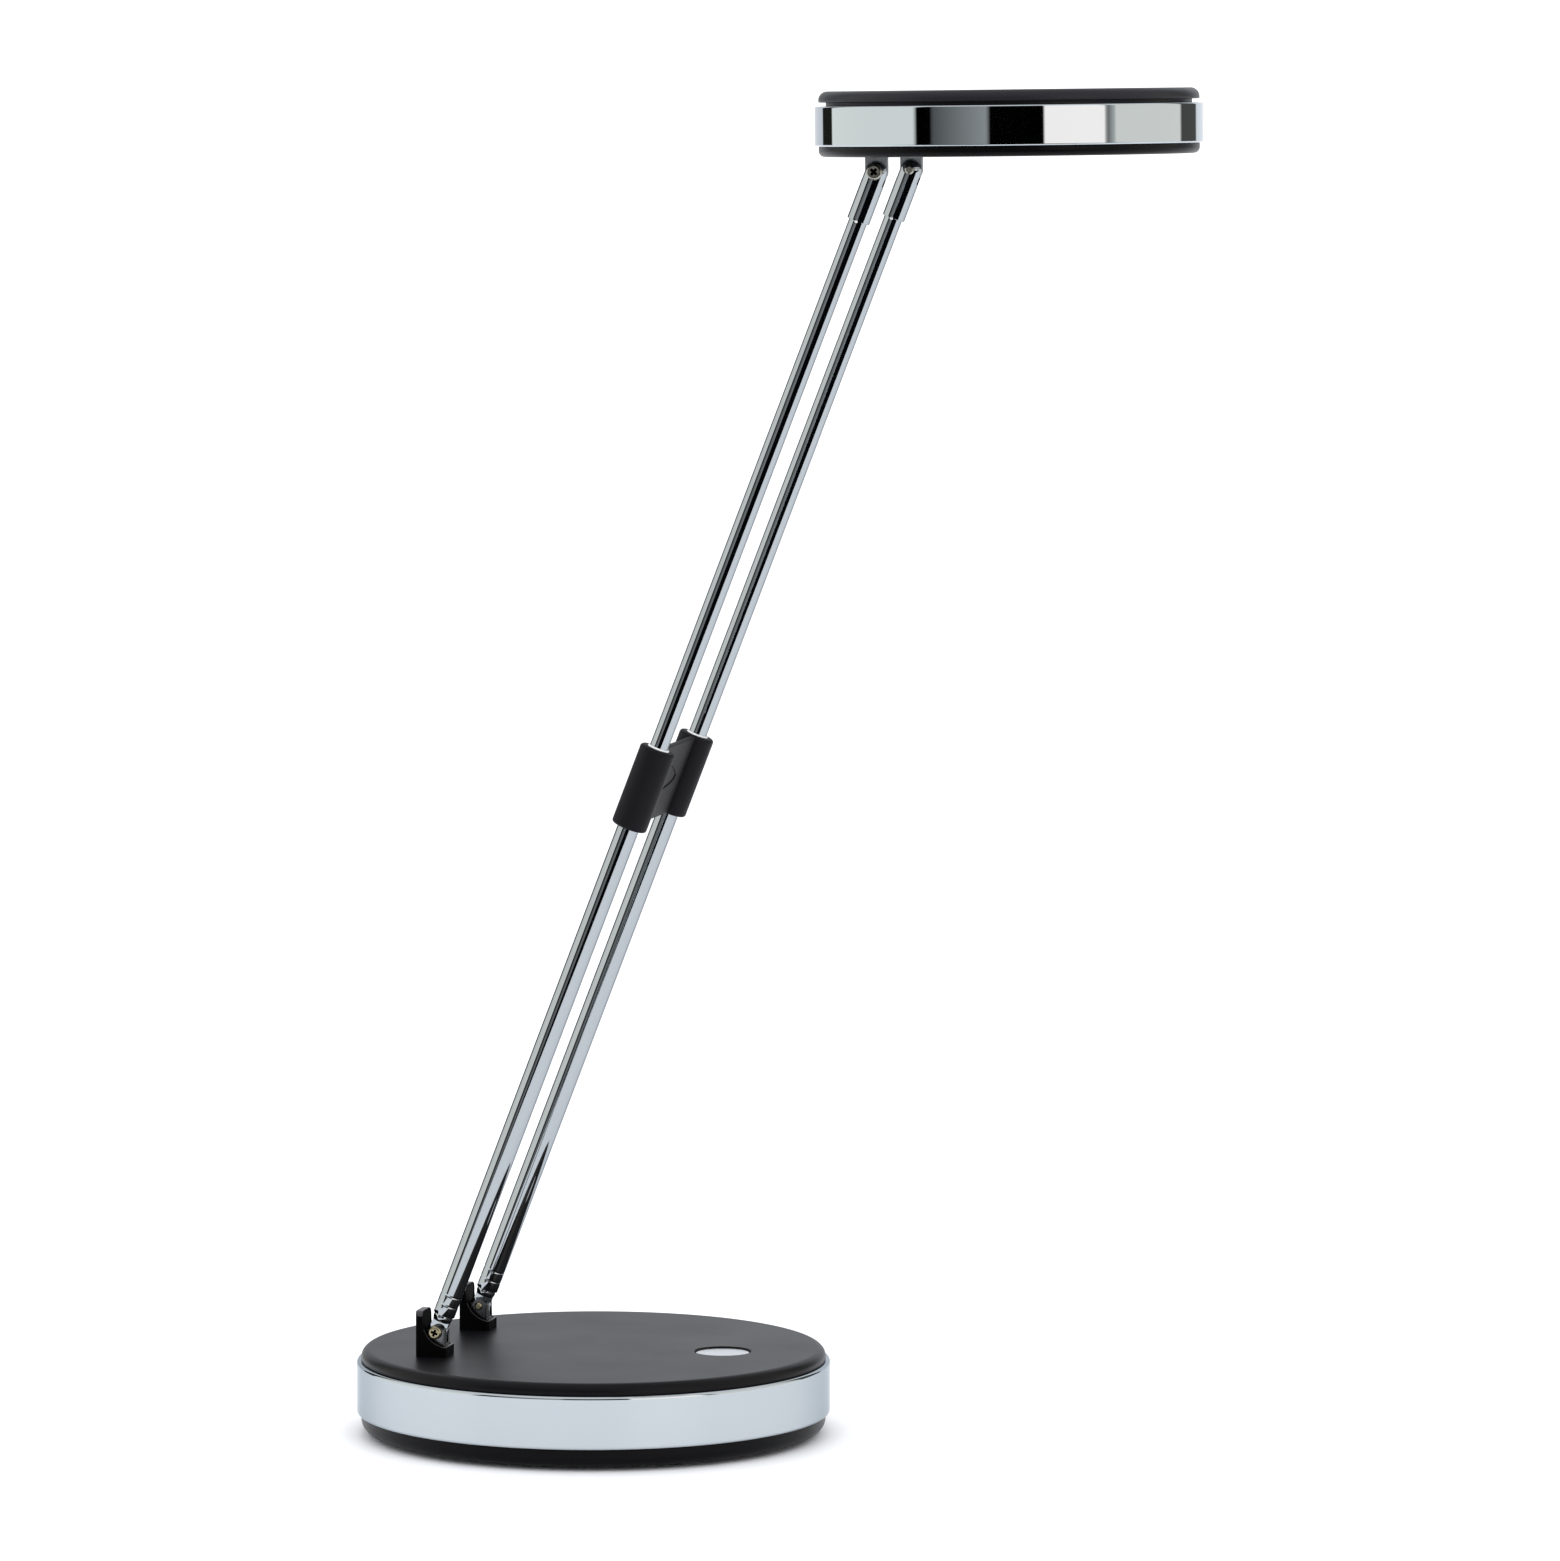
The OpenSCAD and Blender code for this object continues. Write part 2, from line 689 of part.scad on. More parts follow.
module dc_inlet() {
    color("#1c1c1e") difference() {
        union() {
            translate([inlet_nose_x, 0, inlet_z]) rotate([0, 90, 0])
                cylinder(d = inlet_d, h = inlet_body_x - inlet_nose_x);
            translate([inlet_body_x, -inlet_w / 2, inlet_under_z])
                cube([inlet_l, inlet_w, inlet_w]);
        }
        translate([inlet_nose_x - eps, 0, inlet_z]) rotate([0, 90, 0]) difference() {
            cylinder(d = socket_d, h = socket_depth + eps);
            translate([0, 0, 2 * eps]) cylinder(d = socket_pin_d, h = socket_depth);
        }
    }
}

module base_leads() {
    inner_y = 2;
    outer_y = 5.5;
    inlet_back_x = inlet_body_x + inlet_l + lead_seat;
    entry_x = connector_x - lead_seat;
    entry_z = board_top_z + connector[2] / 3;
    tail_x = hinge_x + tag_d / 2 + tag_tail - 1;
    color("#a03028") for (side = SIDES) {
        lead([
            [inlet_back_x, side * inner_y, inlet_z],
            [entry_x, side * inner_y, entry_z]
        ], lead_r);
        lead([
            [tail_x, side * arm_y, tag_z - lead_r],
            [entry_x, side * outer_y, entry_z]
        ], lead_r);
    }
}

// ---- Base hinge -------------------------------------------------------------

// U-shaped bracket: a tall back wall, side walls scooped down to a low front lip
module hinge_bracket(side) {
    inner_w = bracket_w - 2 * bracket_side_t;
    color("#1b1b1d") on_side(side) translate([hinge_x, 0, cover_top_z]) difference() {
        intersection() {
            translate([-bracket_back, -bracket_w / 2, 0]) linear_extrude(bracket_h)
                soft_rectangle(bracket_l, bracket_w, bracket_corner_r);
            translate([-bracket_back, -bracket_w / 2, -bracket_top_r]) rotate([90, 0, 90])
                linear_extrude(bracket_l)
                    soft_rectangle(bracket_w, bracket_h + bracket_top_r, bracket_top_r);
        }
        translate([-bracket_back_in, -inner_w / 2, bracket_floor_t])
            cube([bracket_back_in + bracket_front - bracket_lip_t, inner_w, bracket_h]);
        translate([scoop_x, 0, scoop_z]) cross_cylinder(scoop_r, bracket_w + 2 * eps);
        translate([scoop_x - scoop_r, -bracket_w / 2 - eps, scoop_z])
            cube([2 * scoop_r, bracket_w + 2 * eps, bracket_h]);
        translate([0, 0, -eps]) cylinder(d = stem_d + 2 * pin_gap, h = bracket_floor_t + 2 * eps);
    }
}

// Steel lug: a slotted block with rounded corners and round eyes, on a threaded stem
module hinge_lug(side) {
    color("#8d9196") at_foot(side) difference() {
        union() {
            translate([-lug_half, -lug_w / 2, lug_base_z])
                linear_extrude(lug_shoulder - lug_base_z)
                    soft_rectangle(2 * lug_half, lug_w, lug_corner_r);
            cross_cylinder(lug_eye_r, lug_w);
            translate([0, 0, stem_end_z - hinge_z])
                cylinder(d = stem_d, h = hinge_z + lug_base_z - stem_end_z);
        }
        translate([-lug_half - eps, -lug_slot / 2, lug_slot_z])
            cube([2 * (lug_half + eps), lug_slot, lug_eye_r - lug_slot_z + eps]);
        cross_cylinder(foot_screw_d / 2 + pin_gap, lug_w + 2 * eps);
    }
}

module lug_nuts() {
    color("silver") for (side = SIDES) translate([hinge_x, side * arm_y, nut_z]) difference() {
        cylinder(d = nut_across / cos(30), h = nut_h, $fn = 6);
        translate([0, 0, -eps]) cylinder(d = stem_d + 2 * pin_gap, h = nut_h + 2 * eps);
    }
}

module solder_tags() {
    color("#c8a55a") for (side = SIDES) translate([hinge_x, side * arm_y, tag_z]) difference() {
        union() {
            cylinder(d = tag_d, h = tag_t);
            translate([0, -tag_tail_w / 2, 0]) cube([tag_d / 2 + tag_tail, tag_tail_w, tag_t]);
        }
        translate([0, 0, -eps]) cylinder(d = stem_d + 2 * pin_gap, h = tag_t + 2 * eps);
    }
}

module foot_screw(side) {
    color("#b5a06a") at_foot(side) translate([0, -lug_w / 2, 0]) rotate([-90, 0, 0])
        pan_screw(foot_screw_d, lug_w + 0.5, foot_head_d, foot_head_h);
}

// ---- Lower arms -------------------------------------------------------------

// Tongue, neck and plug that close the foot of a lower tube
module foot_knuckle(side) {
    color("#cfd3d8") at_arm(side) difference() {
        union() {
            cross_cylinder(tongue_r, tongue_t);
            translate([-neck_r, -tongue_t / 2, 0]) cube([2 * neck_r, tongue_t, neck_start]);
            translate([0, 0, neck_start]) cylinder(r = neck_r, h = lower_start - neck_start);
            translate([0, 0, lower_start]) cylinder(r = plug_r, h = plug_end - lower_start);
        }
        cross_cylinder(foot_screw_d / 2 + pin_gap, tongue_t + 2 * eps);
    }
}

// Lower tube, rolled in over its plug by two grooves
module lower_tube(side) {
    color("#dfe4e8") at_arm(side) difference() {
        translate([0, 0, lower_start]) tube(tube_r, lower_bore_r, lower_end - lower_start);
        for (s = GROOVES) translate([0, 0, s]) rotate_extrude()
            translate([tube_r + groove_r - groove_depth, 0]) circle(groove_r);
    }
}

module guide_bush(side) {
    color("#f0f1ee") at_arm(side) translate([0, 0, lower_end]) tube(bush_r, bush_bore_r, bush_h);
}

// One sleeve of the clip, standing on z = 0, without its bore
module clip_sleeve() {
    rotate_extrude() {
        square([clip_d / 2 - clip_edge_r, clip_l]);
        translate([0, clip_edge_r]) square([clip_d / 2, clip_l - 2 * clip_edge_r]);
        for (z = [clip_edge_r, clip_l - clip_edge_r])
            translate([clip_d / 2 - clip_edge_r, z]) circle(clip_edge_r);
    }
}

// Clip that ties the lower tubes together: two sleeves and a flat web
module arm_clip() {
    web_half = arm_y - clip_bore_r - 0.8;
    color("#1e1e21") difference() {
        union() {
            for (side = SIDES) at_arm(side) translate([0, 0, clip_start]) clip_sleeve();
            translate([hinge_x, 0, hinge_z]) rotate([0, arm_lean, 0])
                translate([-clip_web_t / 2, -web_half, clip_start + clip_web_inset])
                    cube([clip_web_t, 2 * web_half, clip_l - 2 * clip_web_inset]);
        }
        for (side = SIDES) at_arm(side) translate([0, 0, clip_start - eps])
            cylinder(r = clip_bore_r, h = clip_l + 2 * eps);
    }
}

// ---- Upper arms -------------------------------------------------------------

module upper_tube(side) {
    color("#e4e8ec") at_arm(side) translate([0, 0, upper_start])
        tube(upper_r, upper_bore_r, fork_bore_end - upper_start);
}

// Brass bush on the upper tube's lower end, which slides in the lower tube
module contact_bush(side) {
    color("#c8a55a") at_arm(side) {
        translate([0, 0, upper_start - contact_h]) cylinder(r = contact_r, h = contact_h);
        translate([0, 0, upper_start]) cylinder(r = upper_bore_r - seat_gap, h = contact_spigot_h);
    }
}

// Sleeve on the upper tube's top, slotted into a fork with a domed end
module fork_sleeve(side) {
    color("#d5d9dd") at_arm(side) difference() {
        union() {
            translate([0, 0, fork_start]) cylinder(r = fork_r, h = fork_l);
            translate([0, 0, arm_l]) rotate_extrude() intersection() {
                circle(fork_r);
                square(fork_r);
            }
        }
        translate([0, 0, fork_start - eps])
            cylinder(r = upper_r + seat_gap, h = fork_bore_end - fork_start + eps);
        translate([-fork_r - eps, -fork_slot / 2, arm_l - fork_slot_depth])
            cube([fork_d + 2 * eps, fork_slot, fork_slot_depth + fork_r + eps]);
        translate([0, 0, arm_l]) cross_cylinder(head_screw_d / 2 + pin_gap, fork_d + 2 * eps);
        translate([0, -fork_flat_y, arm_l]) rotate([90, 0, 0])
            cylinder(d = head_head_d + 0.2, h = fork_r);
        translate([0, 0, fork_start]) cross_cylinder(fork_notch_r, fork_d + 2 * eps);
    }
}

module head_screw(side) {
    color("#b5a06a") at_arm(side) translate([0, -fork_flat_y, arm_l]) rotate([-90, 0, 0])
        pan_screw(head_screw_d, fork_flat_y + head_screw_end, head_head_d, head_head_h);
}

// ---- Head -------------------------------------------------------------------

// Flat tab that hangs into the fork; inside the head its foot is bent inwards
module head_tab(side) {
    foot_y = tab_t / 2 + tab_foot_l;
    color("#7c8086") at_head() on_side(side) difference() {
        union() {
            cross_cylinder(tab_r, tab_t);
            translate([-tab_r, -tab_t / 2, 0]) cube([tab_w, tab_t, tab_foot_z + tab_foot_t]);
            translate([-tab_r, -tab_t / 2, tab_foot_z])
                cube([tab_w, tab_t / 2 + foot_y, tab_foot_t]);
        }
        cross_cylinder(head_screw_d / 2 + pin_gap, tab_t + 2 * eps);
        translate([0, arm_y - tab_screw_y, tab_foot_z - eps])
            cylinder(d = small_screw_d + 2 * pin_gap, h = tab_foot_t + 2 * eps);
    }
}

module tab_screws() {
    color("silver") at_head() for (side = SIDES)
        translate([0, side * tab_screw_y, tab_foot_z + tab_foot_t]) mirror([0, 0, 1])
            pan_screw(small_screw_d, tab_foot_t + tab_boss_h, small_head_d, small_head_h);
}

// Bosses on the bezel's floor for the tabs and for the case screws
module bezel_bosses() {
    boss_y = tab_foot_l;
    for (side = SIDES)
        translate([-head_reach - tab_r, side * tab_screw_y - boss_y / 2, bezel_floor_z - root])
            cube([tab_w, boss_y, tab_boss_h + root]);
    on_circle(head_boss_r, HEAD_SCREW_ANGLES) translate([0, 0, bezel_floor_z - root])
        cylinder(d = head_boss_d, h = head_split_z - bezel_floor_z + root);
}

module head_bezel() {
    slot_l = tab_w + 0.4;
    slot_w = tab_t + 0.4;
    color("#232326") at_head_middle() difference() {
        union() {
            difference() {
                union() {
                    translate([0, 0, head_band_z]) mirror([0, 0, 1])
                        puck(bezel_r, bezel_drop, bezel_edge_r);
                    translate([0, 0, head_band_z]) cylinder(r = head_spigot_r, h = head_spigot_h);
                }
                translate([0, 0, bezel_floor_z]) cylinder(r = head_inner_r, h = head_band_h);
            }
            bezel_bosses();
        }
        translate([0, 0, bezel_z - eps]) cylinder(r = light_r, h = head_t + 2 * eps);
        translate([0, 0, ledge_z]) cylinder(r = light_r + ledge_w, h = head_t);
        on_circle(head_boss_r, HEAD_SCREW_ANGLES) translate([0, 0, bezel_z - eps]) {
            cylinder(d = small_head_d + 0.4, h = head_boss_seat_z - bezel_z + eps);
            cylinder(d = small_screw_d + 2 * pin_gap, h = head_band_h);
        }
        for (side = SIDES) {
            translate([-head_reach - slot_l / 2, side * arm_y - slot_w / 2, bezel_z - eps])
                cube([slot_l, slot_w, head_t + tab_boss_h + 2 * eps]);
            translate([-head_reach, side * tab_screw_y, bezel_z + 0.8])
                cylinder(d = small_screw_d + 2 * pin_gap, h = head_t + tab_boss_h);
        }
    }
}

module head_band() {
    color("#dfe4e8") at_head_middle() translate([0, 0, head_band_z])
        band(head_band_r, head_band_t, head_band_h, 0.5);
}

module head_cover() {
    hollow_h = head_under_z - head_band_top_z + head_spigot_h;
    color("#2c2c30") at_head_middle() difference() {
        union() {
            difference() {
                union() {
                    translate([0, 0, head_rim_z])
                        puck(head_cover_r, head_top_z - head_rim_z, head_edge_r);
                    translate([0, 0, head_band_top_z]) cylinder(r = head_neck_r, h = head_groove_h);
                    translate([0, 0, head_band_top_z - head_spigot_h])
                        cylinder(r = head_spigot_r, h = head_spigot_h);
                }
                translate([0, 0, head_band_top_z - head_spigot_h - eps])
                    cylinder(r = head_inner_r, h = hollow_h + eps);
            }
            on_circle(head_boss_r, HEAD_SCREW_ANGLES) translate([0, 0, head_split_z])
                cylinder(d = head_boss_d, h = head_under_z - head_split_z + root);
            on_circle(heat_screw_r, HEAT_SCREW_ANGLES) translate([0, 0, heat_post_z])
                cylinder(d = head_boss_d, h = head_under_z - heat_post_z + root);
        }
        on_circle(head_boss_r, HEAD_SCREW_ANGLES) translate([0, 0, head_split_z - eps])
            cylinder(d = small_screw_d + 2 * pin_gap, h = head_under_z - head_split_z + eps);
        on_circle(heat_screw_r, HEAT_SCREW_ANGLES) translate([0, 0, heat_post_z - eps])
            cylinder(d = small_screw_d + 2 * pin_gap, h = head_under_z - heat_post_z + eps);
    }
}

module head_case_screws() {
    color("silver") at_head_middle() on_circle(head_boss_r, HEAD_SCREW_ANGLES)
        translate([0, 0, head_boss_seat_z])
            pan_screw(small_screw_d, head_under_z - head_boss_seat_z - 0.5, small_head_d, small_head_h);
}

module diffuser() {
    color("#f4f4f0") at_head_middle() translate([0, 0, ledge_z])
        cylinder(r = diffuser_r, h = diffuser_t);
}

// White tray round the light-emitting diodes, narrowing upwards
module reflector() {
    color("#fafafa") at_head_middle() translate([0, 0, reflector_z]) rotate_extrude() polygon([
        [light_r, 0],
        [diffuser_r, 0],
        [diffuser_r, reflector_wall],
        [reflector_top_r + 2 * reflector_wall, reflector_h],
        [reflector_top_r, reflector_h]
    ]);
}

module led_board() {
    color("#e8e8e6") at_head_middle() translate([0, 0, reflector_top_z])
        cylinder(r = led_board_r, h = led_board_t);
}

module leds() {
    color("#f2e27a") at_head_middle() for (ring = [1 : led_rings]) {
        n = ring * led_ring_n;
        on_circle(ring * led_ring_step, [for (i = [0 : n - 1]) i * 360 / n])
            translate([-led_l / 2, -led_w / 2, reflector_top_z - led_h]) cube([led_l, led_w, led_h]);
    }
}

module heat_plate() {
    color("#b9bec3") at_head_middle() translate([0, 0, heat_plate_z]) difference() {
        cylinder(r = heat_plate_r, h = heat_plate_t);
        on_circle(heat_screw_r, HEAT_SCREW_ANGLES) translate([0, 0, -eps])
            cylinder(d = small_screw_d + 2 * pin_gap, h = heat_plate_t + 2 * eps);
    }
}

module heat_plate_screws() {
    color("silver") at_head_middle() on_circle(heat_screw_r, HEAT_SCREW_ANGLES)
        translate([0, 0, heat_plate_z])
            pan_screw(small_screw_d, head_under_z - heat_plate_z - 0.5, small_head_d, small_head_h);
}

module head_leads() {
    pad_r = led_board_r + lead_r;
    color("#a03028") at_head_middle() for (side = SIDES) lead([
        [-head_reach, side * tab_screw_y, tab_foot_z + tab_foot_t + small_head_h + lead_r],
        [-pad_r * cos(20) - 2, side * (pad_r * sin(20) + 2), heat_plate_z - led_board_t / 2 - 0.5],
        [-pad_r * cos(14), side * pad_r * sin(14), heat_plate_z - led_board_t / 2]
    ], lead_r);
}

// ---- Nodes ------------------------------------------------------------------

foot_pad();
base_pan();
base_band();
base_cover();
base_screws();
ballast_plate();
control_board();
board_parts();
board_screws();
tact_switch();
switch_plunger();
power_button();
dc_inlet();
base_leads();
hinge_bracket(right);  // hinge_bracket_right
hinge_bracket(left);  // hinge_bracket_left
hinge_lug(right);  // hinge_lug_right
hinge_lug(left);  // hinge_lug_left
lug_nuts();
solder_tags();
foot_screw(right);  // foot_screw_right
foot_screw(left);  // foot_screw_left
foot_knuckle(right);  // foot_knuckle_right
foot_knuckle(left);  // foot_knuckle_left
lower_tube(right);  // lower_tube_right
lower_tube(left);  // lower_tube_left
guide_bush(right);  // guide_bush_right
guide_bush(left);  // guide_bush_left
arm_clip();
upper_tube(right);  // upper_tube_right
upper_tube(left);  // upper_tube_left
contact_bush(right);  // contact_bush_right
contact_bush(left);  // contact_bush_left
fork_sleeve(right);  // fork_sleeve_right
fork_sleeve(left);  // fork_sleeve_left
head_screw(right);  // head_screw_right
head_screw(left);  // head_screw_left
head_tab(right);  // head_tab_right
head_tab(left);  // head_tab_left
tab_screws();
head_bezel();
head_band();
head_cover();
head_case_screws();
diffuser();
reflector();
led_board();
leds();
heat_plate();
heat_plate_screws();
head_leads();
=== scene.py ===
"""Folding LED desk lamp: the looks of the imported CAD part.

Each sub-assembly is a class that holds its sizes in millimetres, builds its meshes in
the row frame, dresses them and hands them to their CAD body. The studio (table, light
and camera) comes last, and nothing in it belongs to the lamp.
"""

from __future__ import annotations

import json
import logging
import math
import sys
from collections.abc import Iterable, Sequence
from dataclasses import dataclass, field
from enum import Enum

import bmesh
import bpy
from mathutils import Matrix, Vector

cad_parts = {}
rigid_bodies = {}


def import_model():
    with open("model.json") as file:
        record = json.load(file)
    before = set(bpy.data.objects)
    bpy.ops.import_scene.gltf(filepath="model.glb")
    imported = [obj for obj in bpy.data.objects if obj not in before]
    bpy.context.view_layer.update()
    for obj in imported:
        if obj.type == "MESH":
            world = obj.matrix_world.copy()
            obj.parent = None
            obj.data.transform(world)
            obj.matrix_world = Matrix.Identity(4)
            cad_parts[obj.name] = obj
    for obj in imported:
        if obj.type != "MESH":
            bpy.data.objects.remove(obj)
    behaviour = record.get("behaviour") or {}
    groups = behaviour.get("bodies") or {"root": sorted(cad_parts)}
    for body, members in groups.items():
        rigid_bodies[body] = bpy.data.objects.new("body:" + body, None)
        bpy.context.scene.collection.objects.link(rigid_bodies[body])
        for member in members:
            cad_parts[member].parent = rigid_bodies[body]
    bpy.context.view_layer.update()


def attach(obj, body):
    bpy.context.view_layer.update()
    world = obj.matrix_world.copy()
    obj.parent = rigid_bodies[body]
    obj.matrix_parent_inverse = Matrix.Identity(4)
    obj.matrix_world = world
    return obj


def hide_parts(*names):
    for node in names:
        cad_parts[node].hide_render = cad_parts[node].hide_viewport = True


MM = 0.001
MARK = "second_finish"
LOG = logging.getLogger("desk_lamp")

Corner = tuple[float, float, float]
Loop = list[tuple[float, float]]
Colour = tuple[float, float, float, float]
Mesh = bmesh.types.BMesh
Piece = bpy.types.Object
Tree = bpy.types.NodeTree
Socket = bpy.types.NodeSocket


class Side(Enum):
    """The two arms: the right one is on the -Y side, the left one on the +Y side."""

    RIGHT = -1
    LEFT = 1

    @property
    def word(self) -> str:
        """The side's name as it stands in the CAD nodes' names."""
        return self.name.lower()


class Body(Enum):
    """The CAD bodies, by the names in the record."""

    BASE = "base"
    BUTTON = "button"
    LOWER_ARMS = "lower_arms"
    UPPER_ARMS = "upper_arms"
    HEAD = "head"


# ---- Colours and nodes -----------------------------------------------------------------


def linear(hex_colour: str) -> Colour:
    """Turns an sRGB hex colour into Blender's linear RGBA.

    Args:
        hex_colour: Six hex digits with a leading #.

    Returns:
        The linear colour with alpha 1.
    """
    channels = []
    for i in (1, 3, 5):
        c = int(hex_colour[i : i + 2], 16) / 255
        channels.append(c / 12.92 if c <= 0.04045 else ((c + 0.055) / 1.055) ** 2.4)
    return (channels[0], channels[1], channels[2], 1.0)


def add_node(
    tree: Tree, kind: str, inputs: dict[str | int, object] | None = None, **settings: object
) -> bpy.types.Node:
    """Adds one node with its settings, and sets or links its inputs.

    Args:
        tree: The node tree that gets the node.
        kind: The node's Blender type name.
        inputs: By socket name or number, a value, or an output socket to link from.
        settings: Properties of the node, which are set before its inputs.

    Returns:
        The new node.
    """
    node = tree.nodes.new(kind)
    for name, value in settings.items():
        setattr(node, name, value)
    for name, value in (inputs or {}).items():
        socket = node.inputs[name]
        if isinstance(value, Socket):
            tree.links.new(value, socket)
        else:
            socket.default_value = value
    return node


# ---- Finishes --------------------------------------------------------------------------


@dataclass(frozen=True)
class Finish:
    """What all finishes share: a name, a colour, a gloss and a fine relief.

    grain_mm is the size of one grain of the relief and depth_mm how deep it is. The colour
    wanders between colour and dark over patches of patch_mm, and the gloss by unevenness.
    """

    name: str
    colour: str
    dark: str
    roughness: float
    grain_mm: float = 0.4
    depth_mm: float = 0.01
    patch_mm: float = 25.0
    metallic: float = 0.0
    ior: float = 1.5
    unevenness: float = 0.06

    @property
    def grains_per_metre(self) -> float:
        """The scale of the relief's pattern."""
        return 1 / (self.grain_mm * MM)

    def relief(self, tree: Tree, where: Socket) -> Socket:
        """The height of the surface's fine relief at where, from 0 to 1."""
        inputs = {"Vector": where, "Scale": self.grains_per_metre, "Detail": 3.0}
        return add_node(tree, "ShaderNodeTexNoise", inputs).outputs["Fac"]

    def extra(self, shader: bpy.types.Node) -> None:
        """Room for what one kind of finish adds to the shader."""

    def material(self) -> bpy.types.Material:
        """Builds the material, once for each finish.

        Returns:
            The material of this finish.
        """
        known = bpy.data.materials.get(self.name)
        if known:
            return known
        made = bpy.data.materials.new(self.name)
        made.use_nodes = True
        tree = made.node_tree
        tree.nodes.clear()
        where = add_node(tree, "ShaderNodeTexCoord").outputs["Object"]
        patches = add_node(
            tree,
            "ShaderNodeTexNoise",
            {"Vector": where, "Scale": 1 / (self.patch_mm * MM), "Detail": 4.0},
        ).outputs["Fac"]
        colour = add_node(
            tree,
            "ShaderNodeMix",
            {"Factor": patches, "A": linear(self.dark), "B": linear(self.colour)},
            data_type="RGBA",
        ).outputs["Result"]
        gloss = add_node(
            tree,
            "ShaderNodeMapRange",
            {
                "Value": patches,
                "From Min": 0.25,
                "From Max": 0.75,
                "To Min": max(self.roughness - self.unevenness, 0.02),
                "To Max": self.roughness + self.unevenness,
            },
        ).outputs["Result"]
        bump = add_node(
            tree,
            "ShaderNodeBump",
            {"Height": self.relief(tree, where), "Distance": self.depth_mm * MM},
        ).outputs["Normal"]
        shader = add_node(
            tree,
            "ShaderNodeBsdfPrincipled",
            {
                "Base Color": colour,
                "Metallic": self.metallic,
                "Roughness": gloss,
                "IOR": self.ior,
                "Normal": bump,
            },
        )
        self.extra(shader)
        add_node(tree, "ShaderNodeOutputMaterial", {"Surface": shader.outputs["BSDF"]})
        return made


@dataclass(frozen=True)
class ChromePlate(Finish):
    """Chromium over bright nickel: a mirror with a faint waviness from the polishing."""

    metallic: float = 1.0
    roughness: float = 0.03
    grain_mm: float = 9.0
    depth_mm: float = 0.004
    unevenness: float = 0.015
    edge: str = "#E2E4E6"

    def extra(self, shader: bpy.types.Node) -> None:
        """Keeps the plate's grey at low angles, where a plain mirror would turn white."""
        shader.inputs["Specular Tint"].default_value = linear(self.edge)


@dataclass(frozen=True)
class MouldedPlastic(Finish):
    """Injection-moulded plastic from a spark-eroded tool, so evenly and finely grained."""

    ior: float = 1.22

    def relief(self, tree: Tree, where: Socket) -> Socket:
        """Spark-eroded grain: small flat cells with soft walls.

        Args:
            tree: The material's node tree.
            where: The coordinates.

        Returns:
            The height's output socket.
        """
        inputs = {"Vector": where, "Scale": self.grains_per_metre, "Smoothness": 0.6}
        cells = add_node(tree, "ShaderNodeTexVoronoi", inputs, feature="SMOOTH_F1")
        return cells.outputs["Distance"]


@dataclass(frozen=True)
class DrawnMetal(Finish):
    """Bare or thinly plated metal with the fine lines that a die or a belt leaves.

    stretch squeezes the pattern along X, Y and Z, which draws its lines out.
    """

    metallic: float = 1.0
    stretch: tuple[float, float, float] = (1.0, 1.0, 0.08)

    def relief(self, tree: Tree, where: Socket) -> Socket:
        """Fine lines: noise that is drawn out along one axis.

        Args:
            tree: The material's node tree.
            where: The coordinates.

        Returns:
            The height's output socket.
        """
        drawn = add_node(tree, "ShaderNodeMapping", {"Vector": where, "Scale": self.stretch})
        inputs = {"Vector": drawn.outputs["Vector"], "Scale": self.grains_per_metre, "Detail": 4.0}
        return add_node(tree, "ShaderNodeTexNoise", inputs).outputs["Fac"]


@dataclass(frozen=True)
class SpunMetal(Finish):
    """Metal turned on a lathe: fine rings round an upright axis through centre (mm)."""

    metallic: float = 1.0
    centre: tuple[float, float] = (0.0, 0.0)

    def relief(self, tree: Tree, where: Socket) -> Socket:
        """Rings that the turning tool leaves.

        Args:
            tree: The material's node tree.
            where: The coordinates.

        Returns:
            The height's output socket.
        """
        middle = (-self.centre[0] * MM, -self.centre[1] * MM, 0.0)
        centred = add_node(tree, "ShaderNodeMapping", {"Vector": where, "Location": middle})
        inputs = {
            "Vector": centred.outputs["Vector"],
            "Scale": 0.3 * self.grains_per_metre,
            "Distortion": 0.4,
        }
        rings = {"wave_type": "RINGS", "rings_direction": "Z"}
        return add_node(tree, "ShaderNodeTexWave", inputs, **rings).outputs["Fac"]


@dataclass(frozen=True)
class FrostedAcrylic(Finish):
    """Opal acrylic sheet: satin outside, and it lets the diodes behind it show faintly."""

    ior: float = 1.49
    passes: float = 0.45

    def extra(self, shader: bpy.types.Node) -> None:
        """Lets part of the light through, scattered by the rough faces."""
        shader.inputs["Transmission Weight"].default_value = self.passes


